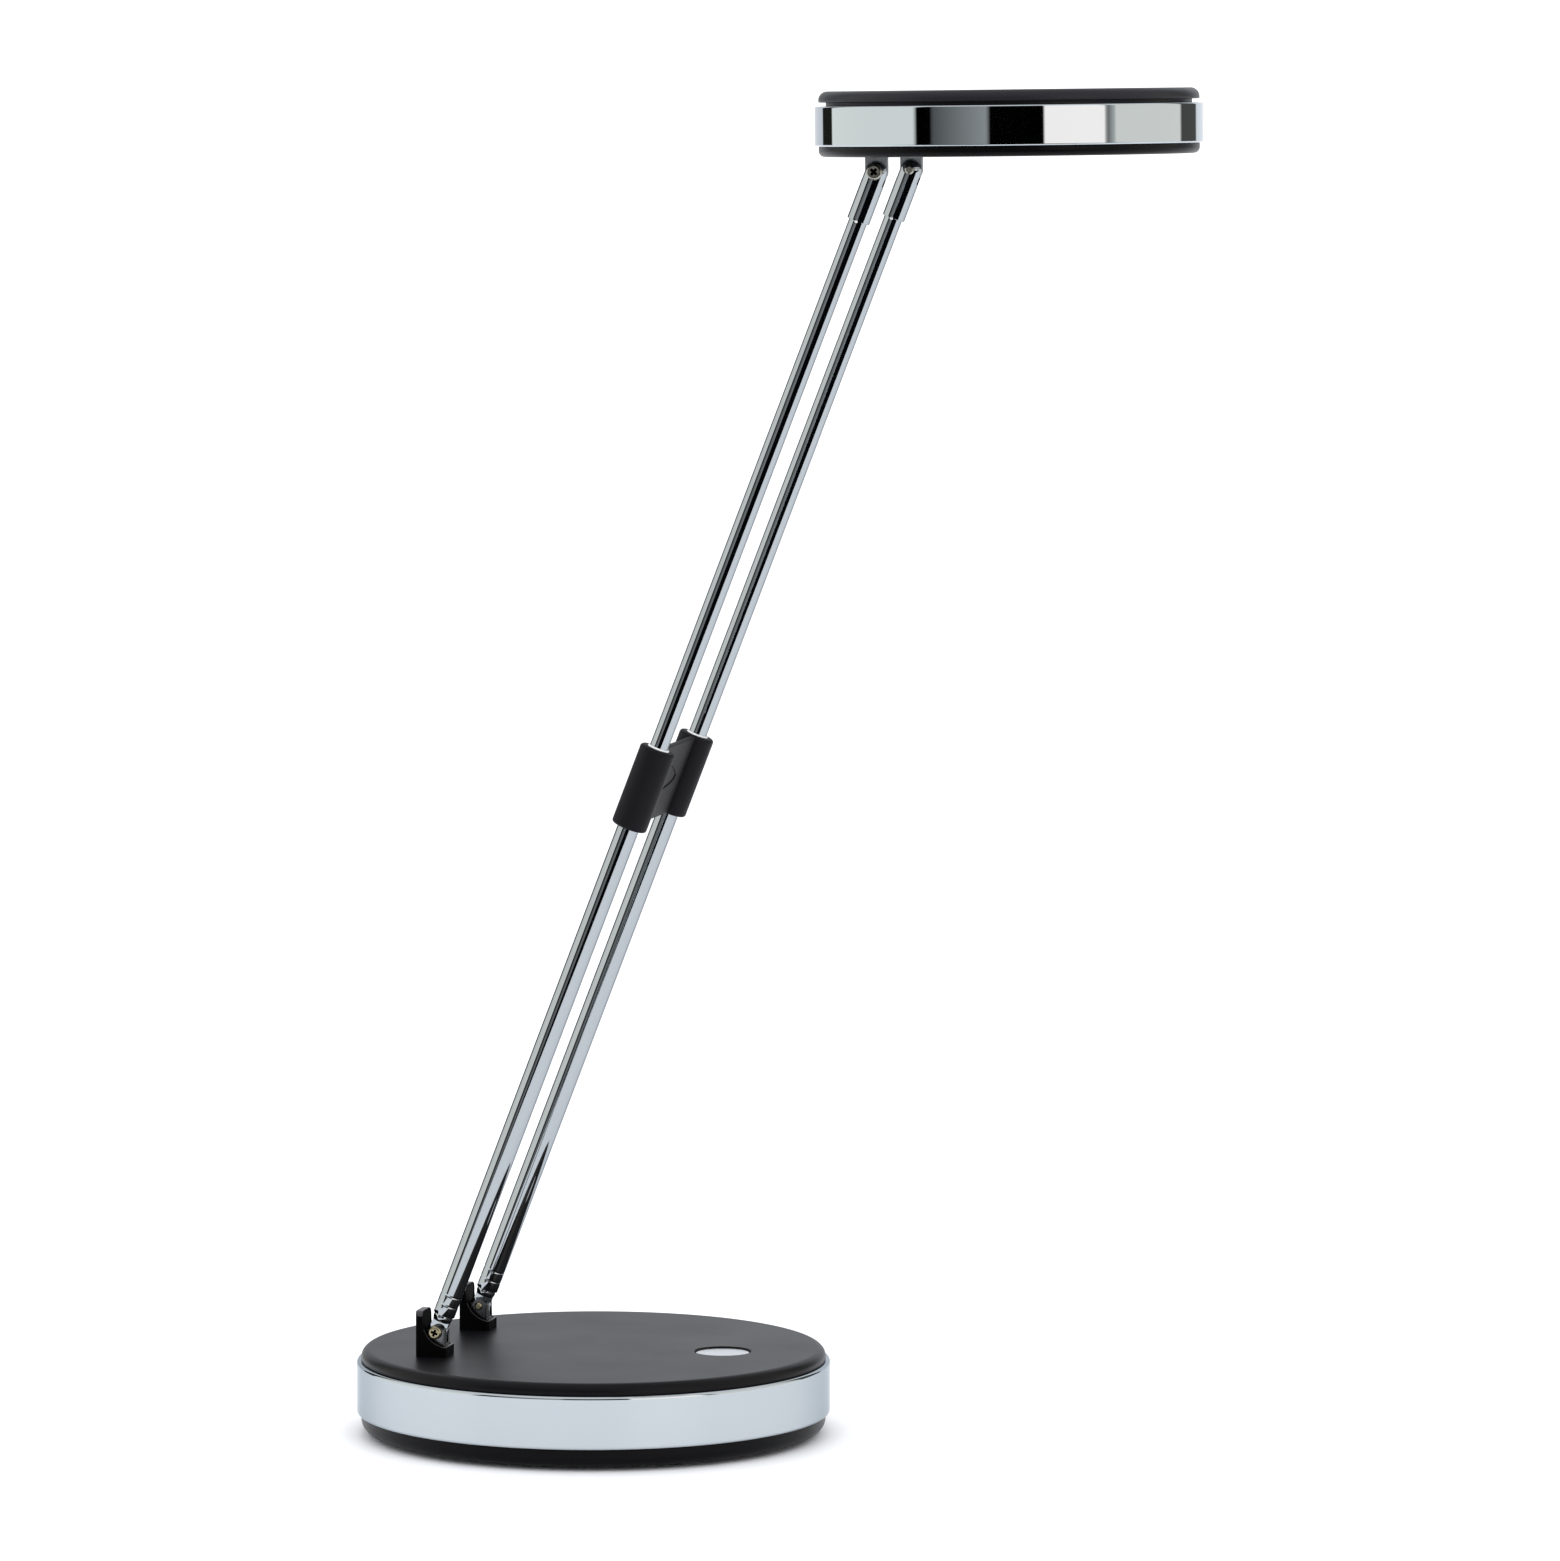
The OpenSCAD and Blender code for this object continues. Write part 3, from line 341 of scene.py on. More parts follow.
class Finishes:
    """The lamp's finishes, most named for the real material and its making, some for the painted
    light or shade that they carry.
    """

    # Chromed brass tube: mirror bright and slightly cool, greyer where it turns away
    CHROMED_TUBE = ChromePlate("chromed_brass_tube", "#A9AFB3", "#A4AAAE", edge="#85878A")
    # Chromed ABS ring of the head: the same plate on a moulding, cooler and very even
    CHROMED_BAND = ChromePlate(
        "chromed_abs_band", "#B7BFC4", "#B3BBC0", grain_mm=40.0, edge="#FFFFFF"
    )
    # Chromed ABS ring of the base: a slightly softer plate, which stays grey at the sides
    CHROMED_BASE = ChromePlate(
        "chromed_abs_base_band", "#B6BDC1", "#B2B9BD", 0.04, grain_mm=40.0, edge="#CDD2D6"
    )
    # Moulded ABS, spark-eroded tool: matt grey-black with a soft sheen at low angles
    COVER_ABS = MouldedPlastic(
        "grained_black_abs", "#0C0C0F", "#0A0A0C", 0.36, 0.35, 0.010, ior=1.2, unevenness=0.02
    )
    # Moulded ABS of the head's cover: the same black made lighter, as a painted highlight on its
    # rim and top edge, with a little more gloss
    HEAD_ABS = MouldedPlastic(
        "grained_black_head_abs", "#1E1E24", "#1B1B20", 0.4, 0.35, 0.010, ior=1.26
    )
    # Moulded ABS of pan and bezel: the same black with less grain, so darker and smoother
    PAN_ABS = MouldedPlastic("satin_black_abs", "#070709", "#050507", 0.34, 0.3, 0.006, ior=1.18)
    # Moulded glass-filled nylon of the clip: deep matt black without a clear highlight
    NYLON = MouldedPlastic(
        "moulded_black_nylon", "#101014", "#0C0C10", 0.56, 0.3, 0.008, unevenness=0.03
    )
    # Moulded nylon of the brackets: dull faces that swallow the light
    BRACKET_NYLON = MouldedPlastic(
        "dull_black_nylon", "#030304", "#020203", 0.65, 0.3, 0.004, ior=1.12
    )
    # The same nylon, lighter, on top of the walls: a painted highlight, a thin light line where
    # light falls from above
    RUBBED_NYLON = MouldedPlastic(
        "rubbed_nylon_edge", "#28282B", "#202023", 0.38, 0.3, 0.002, ior=1.5
    )
    # Stamped steel lugs, nickel-plated in a barrel: dark grey with a blurred gleam
    NICKELLED_STEEL = DrawnMetal("nickelled_steel_lug", "#6A6C6F", "#646669", 0.22, 0.2, 0.0015)
    # Stamped and zinc-plated steel tabs: even, dull mid-grey
    ZINC_STEEL = DrawnMetal(
        "zinc_plated_steel_tab", "#85888B", "#818487", 0.5, 0.3, 0.0005, metallic=0.3
    )
    # Yellow-passivated steel screws: brassy, with a dull head
    YELLOW_STEEL = DrawnMetal("yellow_passivated_steel", "#A59E84", "#8E866A", 0.2, 0.25, 0.0015)
    # The head hinge's passivated screws: their yellow has faded to a warm grey
    GREY_STEEL = DrawnMetal("grey_passivated_steel", "#A6A39A", "#8C8982", 0.2, 0.25, 0.0015)
    # Painted shade in the bottom of a pressed screw recess: dark brownish metal
    RECESS = DrawnMetal("oiled_screw_recess", "#17140E", "#100E0A", 0.5, 0.2, 0.004)
    # Painted glints: small balls of nearly white metal in the fork sleeves' notches, where the
    # notch edges catch the light
    TINNED_DOT = DrawnMetal(
        "bright_tinned_dot", "#F4F4F2", "#E8E8E6", 0.3, 0.2, 0.001, metallic=0.6
    )
    # Rolled and zinc-plated screws: bright, bluish and slightly lined
    BRIGHT_STEEL = DrawnMetal("bright_zinc_screw_steel", "#C4C6C8", "#AEB0B3", 0.3, 0.3, 0.004)
    # Raw rolled steel plate: grey and cloudy
    RAW_STEEL = DrawnMetal("rolled_steel_plate", "#6E7073", "#5A5C5F", 0.45, 0.6, 0.01)
    # Satin-anodised aluminium, turned on its face: pale, with faint rings
    SATIN_BUTTON = SpunMetal(
        "satin_anodised_button", "#DADDE1", "#D4D7DB", 0.34, 0.35, 0.003, centre=(36.3, 0.0)
    )
    # Raw rolled aluminium sheet: light grey with rolling lines
    RAW_ALUMINIUM = DrawnMetal("aluminium_sheet", "#C9CBCD", "#BCBEC1", 0.35, 0.5, 0.004)
    # Turned brass of bushes and tags: yellow and fairly bright
    BRASS = DrawnMetal("turned_brass", "#C9A663", "#B8924D", 0.3, 0.3, 0.004)
    # Moulded natural nylon of the guide bushes: milky white with a soft gloss
    WHITE_NYLON = MouldedPlastic("white_nylon", "#E6E8E8", "#DCDEDE", 0.35, 0.3, 0.004)
    # Moulded non-slip rubber: quite dull, with a coarse grain; its black is made darker still as
    # painted shade, so that the pad reads as the contact shadow under the base
    RUBBER = MouldedPlastic("moulded_black_rubber", "#151516", "#101011", 0.8, 0.5, 0.03)
    # Solder resist printed on fibreglass: glossy green
    SOLDER_RESIST = MouldedPlastic("green_solder_resist", "#1F5A3A", "#184A2F", 0.3, 0.6, 0.004)
    # Epoxy-moulded parts on the board: dull dark grey
    EPOXY = MouldedPlastic("moulded_epoxy", "#2E3033", "#26282A", 0.5, 0.3, 0.01)
    # Extruded PVC round the leads: red with a soft gloss
    PVC = MouldedPlastic("red_pvc_lead", "#8E2A22", "#7C231C", 0.4, 0.4, 0.004)
    # Opal acrylic sheet: milky, with a satin face
    OPAL_ACRYLIC = FrostedAcrylic("opal_acrylic", "#F1F3F2", "#EDEFEE", 0.4, 0.3, 0.006)
    # Moulded white ABS, and white solder resist: clean and even
    WHITE_ABS = MouldedPlastic("white_abs_reflector", "#F2F2F0", "#ECECEA", 0.3, 0.4, 0.004)
    # Phosphor cast over a blue diode: matt egg yellow
    PHOSPHOR = MouldedPlastic("yellow_phosphor", "#E8C84E", "#DDBB40", 0.35, 0.2, 0.01)


# ---- Mesh work -------------------------------------------------------------------------


def shift(x: float, y: float, z: float) -> Matrix:
    """A move by x, y and z, in mm."""
    return Matrix.Translation(Vector((x, y, z)) * MM)


def turn(axis: str, degrees: float) -> Matrix:
    """A turn about the X, Y or Z axis."""
    return Matrix.Rotation(math.radians(degrees), 4, axis)


def fillet(corners: Sequence[Corner], steps: int = 6) -> Loop:
    """Rounds the corners of a closed section.

    Args:
        corners: Radius, height and rounding of each corner, in mm, in order.
        steps: Faces in each rounded corner.

    Returns:
        The rounded section's points, in mm.
    """
    points: Loop = []
    for i, (x, z, r) in enumerate(corners):
        here = Vector((x, z))
        if r <= 0:
            points.append((x, z))
            continue
        back = (Vector(corners[i - 1][:2]) - here).normalized()
        on = (Vector(corners[(i + 1) % len(corners)][:2]) - here).normalized()
        half = math.acos(max(-1.0, min(1.0, back.dot(on)))) / 2
        start, end = here + back * (r / math.tan(half)), here + on * (r / math.tan(half))
        middle = here + (back + on).normalized() * (r / math.sin(half))
        first = math.atan2(start.y - middle.y, start.x - middle.x)
        sweep = math.atan2(end.y - middle.y, end.x - middle.x) - first
        sweep = math.remainder(sweep, 2 * math.pi)
        for k in range(steps + 1):
            angle = first + sweep * k / steps
            points.append((middle.x + r * math.cos(angle), middle.y + r * math.sin(angle)))
    return points


def lathe(section: Loop, turns: int = 192) -> Mesh:
    """Turns a closed section round the Z axis.

    Args:
        section: Radius and height of its points, in mm. Radius 0 makes a pole.
        turns: Faces round the axis.

    Returns:
        The turned mesh, in metres.
    """
    mesh = bmesh.new()
    angles = [2 * math.pi * k / turns for k in range(turns)]
    rings = [
        [
            mesh.verts.new((r * MM * math.cos(a), r * MM * math.sin(a), z * MM))
            for a in (angles if r > 1e-6 else angles[:1])
        ]
        for r, z in section
    ]
    for i, low in enumerate(rings):
        high = rings[(i + 1) % len(rings)]
        if len(low) == 1 and len(high) == 1:
            continue
        for k in range(turns):
            n = (k + 1) % turns
            near, far = low[k % len(low)], low[n % len(low)]
            corners = [near, far, high[n % len(high)], high[k % len(high)]]
            mesh.faces.new([v for j, v in enumerate(corners) if v is not corners[j - 1]])
    bmesh.ops.recalc_face_normals(mesh, faces=mesh.faces)
    return mesh


def rod(radius: float, start: float, end: float, turns: int = 48) -> Mesh:
    """A plain upright cylinder, in mm, for cutting and joining."""
    return lathe([(0, start), (radius, start), (radius, end), (0, end)], turns)


def block(size: Sequence[float], at: Sequence[float]) -> Mesh:
    """A box, for cutting or to be bevelled.

    Args:
        size: Length, width and height, in mm.
        at: Its middle, in mm.

    Returns:
        The box's mesh, in metres.
    """
    mesh = bmesh.new()
    bmesh.ops.create_cube(mesh, size=1.0)
    bmesh.ops.scale(mesh, vec=Vector(size) * MM, verts=mesh.verts)
    bmesh.ops.translate(mesh, vec=Vector(at) * MM, verts=mesh.verts)
    return mesh


def moved(mesh: Mesh, matrix: Matrix) -> Mesh:
    """Moves a mesh and keeps its faces outward if the move mirrors it.

    Args:
        mesh: The mesh.
        matrix: The move.

    Returns:
        The same mesh.
    """
    bmesh.ops.transform(mesh, matrix=matrix, verts=mesh.verts)
    if matrix.determinant() < 0:
        bmesh.ops.reverse_faces(mesh, faces=mesh.faces)
    return mesh


def drills(
    angles: Iterable[float], circle: float, radius: float, low: float, high: float
) -> list[Mesh]:
    """Upright cylinders on a circle, which cut the holes for screws.

    Args:
        angles: Where they stand, in degrees from +X.
        circle: The circle's radius, in mm.
        radius: Their own radius, in mm.
        low: Their lower end, in mm.
        high: Their upper end, in mm.

    Returns:
        The cutting shapes.
    """
    return [moved(rod(radius, low, high), turn("Z", a) @ shift(circle, 0, 0)) for a in angles]


def as_object(name: str, mesh: Mesh, at: Matrix | None = None) -> Piece:
    """Makes an object whose place is in its mesh.

    Args:
        name: The piece's name.
        mesh: The mesh, which is freed.
        at: Where the mesh goes in the row frame.

    Returns:
        The object, at the origin.
    """
    if at is not None:
        moved(mesh, at)
    data = bpy.data.meshes.new(name)
    mesh.to_mesh(data)
    mesh.free()
    made = bpy.data.objects.new(name, data)
    bpy.context.scene.collection.objects.link(made)
    return made


def turned(
    name: str, corners: Sequence[Corner], steps: int, turns: int, at: Matrix | None = None
) -> Piece:
    """Makes a piece that is turned from a rounded section.

    Args:
        name: The piece's name.
        corners: Radius, height and rounding of the section's corners, in mm.
        steps: Faces in each rounded corner.
        turns: Faces round the axis.
        at: Where the piece goes in the row frame.

    Returns:
        The object, at the origin.
    """
    return as_object(name, lathe(fillet(corners, steps), turns), at)


def plain_mesh(piece: Piece) -> bpy.types.Mesh:
    """A mesh of what an object's modifiers, or its curve, make of it.

    Args:
        piece: The object.

    Returns:
        The new mesh.
    """
    depsgraph = bpy.context.evaluated_depsgraph_get()
    depsgraph.update()
    return bpy.data.meshes.new_from_object(piece.evaluated_get(depsgraph))


def baked(piece: Piece) -> Piece:
    """Replaces a piece's mesh by what its modifiers make of it, and removes them.

    Args:
        piece: The object with its modifiers.

    Returns:
        The same object, as a plain mesh.
    """
    plain = plain_mesh(piece)
    piece.modifiers.clear()
    piece.data = plain
    return piece


def taken_back(piece: Piece) -> Mesh:
    """Turns a helping object back into a loose mesh, and removes the object.

    Args:
        piece: The object, whose modifiers or curve are applied.

    Returns:
        Its mesh.
    """
    mesh = bmesh.new()
    mesh.from_mesh(plain_mesh(piece))
    bpy.data.objects.remove(piece)
    return mesh


def place(piece: Piece, matrix: Matrix) -> Piece:
    """Moves a piece's mesh, with its object kept at the origin.

    Args:
        piece: The object.
        matrix: Where its mesh goes.

    Returns:
        The same object.
    """
    piece.data.transform(matrix)
    if matrix.determinant() < 0:
        piece.data.flip_normals()
    return piece


def cut(piece: Piece, tools: Iterable[Mesh], join: bool = False) -> Piece:
    """Cuts shapes out of a piece, or joins them to it.

    Args:
        piece: The object to cut.
        tools: The closed shapes, in the row frame.
        join: Whether the shapes are added instead of taken away.

    Returns:
        The same object, cut or joined.
    """
    cutters = [as_object(f"{piece.name}_cutter_{i}", t) for i, t in enumerate(tools)]
    for cutter in cutters:
        modifier = piece.modifiers.new("cut", "BOOLEAN")
        modifier.operation = "UNION" if join else "DIFFERENCE"
        modifier.solver, modifier.object = "EXACT", cutter
    baked(piece)
    for cutter in cutters:
        bpy.data.objects.remove(cutter)
    return piece


def smooth(piece: Piece, angle: float = 32.0) -> Piece:
    """Shades a piece smoothly up to an angle, with its flats kept flat.

    Args:
        piece: The object.
        angle: The least angle between faces that stays sharp, in degrees.

    Returns:
        The same object.
    """
    piece.data.shade_smooth()
    piece.data.set_sharp_from_angle(angle=math.radians(angle))
    weighted = piece.modifiers.new("even_flats", "WEIGHTED_NORMAL")
    weighted.keep_sharp = True
    return piece


def soften(piece: Piece, width: float, steps: int = 3, angle: float = 30.0) -> Piece:
    """Rounds a piece's sharp edges.

    Args:
        piece: The object.
        width: The rounding's width, in mm.
        steps: Faces across each rounded edge.
        angle: The least angle between faces that counts as an edge, in degrees.

    Returns:
        The same object.
    """
    bevel = piece.modifiers.new("soft_edges", "BEVEL")
    bevel.width, bevel.segments, bevel.limit_method = width * MM, steps, "ANGLE"
    bevel.angle_limit = math.radians(angle)
    bevel.use_clamp_overlap = True
    bevel.harden_normals = False
    return baked(piece)


def from_cad(name: str, node: str, width: float, steps: int = 3) -> Piece:
    """Copies a CAD node whose shape is right and rounds its edges.

    Args:
        name: The new piece's name.
        node: The CAD node.
        width: Width of the rounded edges, in mm.
        steps: Faces across each rounded edge.

    Returns:
        The new object.
    """
    mesh = bmesh.new()
    mesh.from_mesh(bpy.data.objects[node].data)
    bmesh.ops.remove_doubles(mesh, verts=mesh.verts, dist=2e-6)
    flat = math.radians(0.6)
    bmesh.ops.dissolve_limit(mesh, angle_limit=flat, verts=mesh.verts, edges=mesh.edges)
    return smooth(soften(as_object(name, mesh), width, steps))


def hand_over(
    piece: Piece,
    finish: Finish,
    body: Body,
    nodes: Iterable[str] = (),
    marked: Finish = Finishes.RECESS,
) -> None:
    """Dresses a finished piece and gives it to its CAD body.

    Args:
        piece: The finished object, in the row frame.
        finish: Its finish.
        body: The CAD body that it rides on.
        nodes: The CAD nodes that it stands for.
        marked: The finish of faces that carry the mark, such as the painted shade in a screw's
            recess and the painted highlight on a bracket's wall tops.
    """
    data = piece.data
    data.materials.clear()
    data.materials.append(finish.material())
    if MARK in data.attributes:
        data.materials.append(marked.material())
        marks = [0] * len(data.polygons)
        data.attributes[MARK].data.foreach_get("value", marks)
        data.polygons.foreach_set("material_index", marks)
    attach(piece, body.value)
    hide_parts(*nodes)
    LOG.info("%s: %d faces, on %s", piece.name, len(data.polygons), body.value)


def dress_nodes(finish: Finish, *nodes: str) -> None:
    """Gives CAD nodes that stay as they are their finish.

    Args:
        finish: The finish.
        nodes: The CAD nodes.
    """
    for node in nodes:
        data = bpy.data.objects[node].data
        data.materials.clear()
        data.materials.append(finish.material())
        LOG.info("%s: CAD node in %s", node, finish.name)


# ---- Places ----------------------------------------------------------------------------


@dataclass(frozen=True)
class Skeleton:
    """The lines that the sub-assemblies are set out from, in mm and degrees."""

    hinge_x: float = -38.0
    hinge_z: float = 30.2
    arm_y: float = 23.5
    arm_lean: float = 21.0
    arm_l: float = 338.0
    head_rest: float = -0.8
    head_reach: float = 31.4

    def foot(self, side: Side) -> Matrix:
        """The hinge line at one arm's foot; the left one is mirrored."""
        at = shift(self.hinge_x, side.value * self.arm_y, self.hinge_z)
        return at @ Matrix.Diagonal((1, -side.value, 1, 1))

    def arm(self, side: Side) -> Matrix:
        """Along one arm: +Z runs from the base hinge line to the head hinge line."""
        return self.foot(side) @ turn("Y", self.arm_lean)

    def head(self) -> Matrix:
        """The head hinge line in the middle plane, tilted as the head is."""
        foot = shift(self.hinge_x, 0, self.hinge_z) @ turn("Y", self.arm_lean)
        return foot @ shift(0, 0, self.arm_l) @ turn("Y", self.head_rest - self.arm_lean)

    def head_middle(self) -> Matrix:
        """The middle of the head, level with the head hinge line."""
        return self.head() @ shift(self.head_reach, 0, 0)


LINES = Skeleton()


# ---- Fasteners -------------------------------------------------------------------------


@dataclass(frozen=True)
class CrossScrew:
    """Pan-head screw with a cross recess; the shank runs along +Z from under the head.

    The recess's arms are arm_l long and arm_w wide, as shares of the head's diameter, and
    arm_h deep, as a share of its height. arm_taper narrows their bottom. Faces within
    recess_r of the middle, a share of the diameter too, are the recess's own and get painted shade.
    """

    shank: float
    length: float
    head: float
    head_h: float
    turns: int = 48
    tip: float = 0.15
    arm_l: float = 0.7
    arm_w: float = 0.22
    arm_h: float = 0.6
    arm_taper: tuple[float, float] = (0.55, 0.7)
    arm_turns: tuple[float, float] = (20.0, 110.0)
    recess_r: float = 0.37

    def recess(self) -> list[Mesh]:
        """The cross recess's two arms and the cone in their middle.

        Returns:
            The cutting shapes.
        """
        top, deep, wide = -self.head_h, self.head_h * self.arm_h, self.head * self.arm_w
        tools = []
        for degrees in self.arm_turns:
            arm = block((self.head * self.arm_l, wide, 2 * deep), (0, 0, top))
            for v in arm.verts:
                if v.co.z > top * MM:
                    v.co.x, v.co.y = v.co.x * self.arm_taper[0], v.co.y * self.arm_taper[1]
            tools.append(moved(arm, turn("Z", degrees)))
        cone = [(0, top - 0.5), (wide * 1.1, top - 0.5), (0, top + deep * 1.15)]
        return [*tools, lathe(cone, 16)]

    def mesh(self) -> Mesh:
        """Builds the screw with its tip chamfered and the faces of its recess marked for painted
        shade.

        Returns:
            The screw's mesh, its head below z = 0.
        """
        s, h, top, tip = self.shank / 2, self.head / 2, -self.head_h, self.tip * self.shank
        corners = [
            (0, top, 0), (h, top, self.head_h * 0.4), (h, 0, 0.05), (s, 0, 0),
            (s, self.length - tip, 0), (s - tip, self.length, 0), (0, self.length, 0),
        ]  # fmt: skip
        made = taken_back(cut(turned("screw_body", corners, 5, self.turns), self.recess()))
        # The recess's faces are marked for the painted shade in its bottom.
        mark = made.faces.layers.int.new(MARK)
        for face in made.faces:
            at = face.calc_center_median() / MM
            near = math.hypot(at.x, at.y) < self.recess_r * self.head
            face[mark] = int(near and top + 0.02 < at.z < -0.05)
        return made


class RingTree:
    """Geometry Nodes that set copies of one fastener on a circle."""

    INPUTS: dict[str, str] = {
        "Fastener": "NodeSocketObject",
        "Count": "NodeSocketInt",
        "Radius": "NodeSocketFloat",
        "First Angle": "NodeSocketFloat",
        "Finish": "NodeSocketMaterial",
    }

    def __init__(self) -> None:
        """Builds the tree with its named inputs."""
        self.tree = tree = bpy.data.node_groups.new("fasteners_on_a_circle", "GeometryNodeTree")
        face = tree.interface
        face.new_socket("Geometry", in_out="OUTPUT", socket_type="NodeSocketGeometry")
        self.ids = {
            name: face.new_socket(name, in_out="INPUT", socket_type=kind).identifier
            for name, kind in self.INPUTS.items()
        }
        given = add_node(tree, "NodeGroupInput").outputs
        ring = add_node(
            tree,
            "GeometryNodeMeshCircle",
            {"Vertices": given["Count"], "Radius": given["Radius"]},
            fill_type="NONE",
        ).outputs["Mesh"]
        angle = add_node(tree, "ShaderNodeCombineXYZ", {"Z": given["First Angle"]})
        points = add_node(
            tree,
            "GeometryNodeTransform",
            {"Geometry": ring, "Rotation": angle.outputs["Vector"]},
        ).outputs["Geometry"]
        fastener = add_node(tree, "GeometryNodeObjectInfo", {"Object": given["Fastener"]})
        copies = add_node(
            tree,
            "GeometryNodeInstanceOnPoints",
            {"Points": points, "Instance": fastener.outputs["Geometry"]},
        ).outputs["Instances"]
        real = add_node(tree, "GeometryNodeRealizeInstances", {"Geometry": copies})
        dressed = add_node(
            tree,
            "GeometryNodeSetMaterial",
            {"Geometry": real.outputs["Geometry"], "Material": given["Finish"]},
        )
        add_node(tree, "NodeGroupOutput", {0: dressed.outputs["Geometry"]})

    def make(
        self, name: str, fastener: Mesh, count: int, radius: float, first: float, finish: Finish
    ) -> Piece:
        """Sets copies of a fastener on a circle round the Z axis.

        Args:
            name: The new piece's name.
            fastener: The fastener's mesh.
            count: How many there are.
            radius: The circle's radius, in mm.
            first: The first one's angle from +X, in degrees.
            finish: Their finish.

        Returns:
            One object with all of them, as a plain mesh.
        """
        pattern = as_object(f"{name}_pattern", fastener)
        piece = as_object(name, bmesh.new())
        nodes = piece.modifiers.new("ring", "NODES")
        nodes.node_group = self.tree
        values = (pattern, count, radius * MM, math.radians(first), finish.material())
        for key, value in zip(self.INPUTS, values):
            nodes[self.ids[key]] = value
        baked(piece)
        bpy.data.objects.remove(pattern)
        return piece


def chrome_band(
    name: str, outer: float, wall: float, low: float, high: float, edge: float, steps: int
) -> Piece:
    """Turns a flat band with rounded outer edges.

    Args:
        name: The band's name.
        outer: Its outer radius, in mm.
        wall: Its wall, in mm.
        low: Its lower edge, in mm.
        high: Its upper edge, in mm.
        edge: The rounding of its outer edges, in mm.
        steps: Faces across each rounding.

    Returns:
        The band.
    """
    inner = outer - wall
    corners = [(inner, low, 0.2), (outer, low, edge), (outer, high, edge), (inner, high, 0.2)]
    return turned(name, corners, steps, 256)


# ---- Base ------------------------------------------------------------------------------


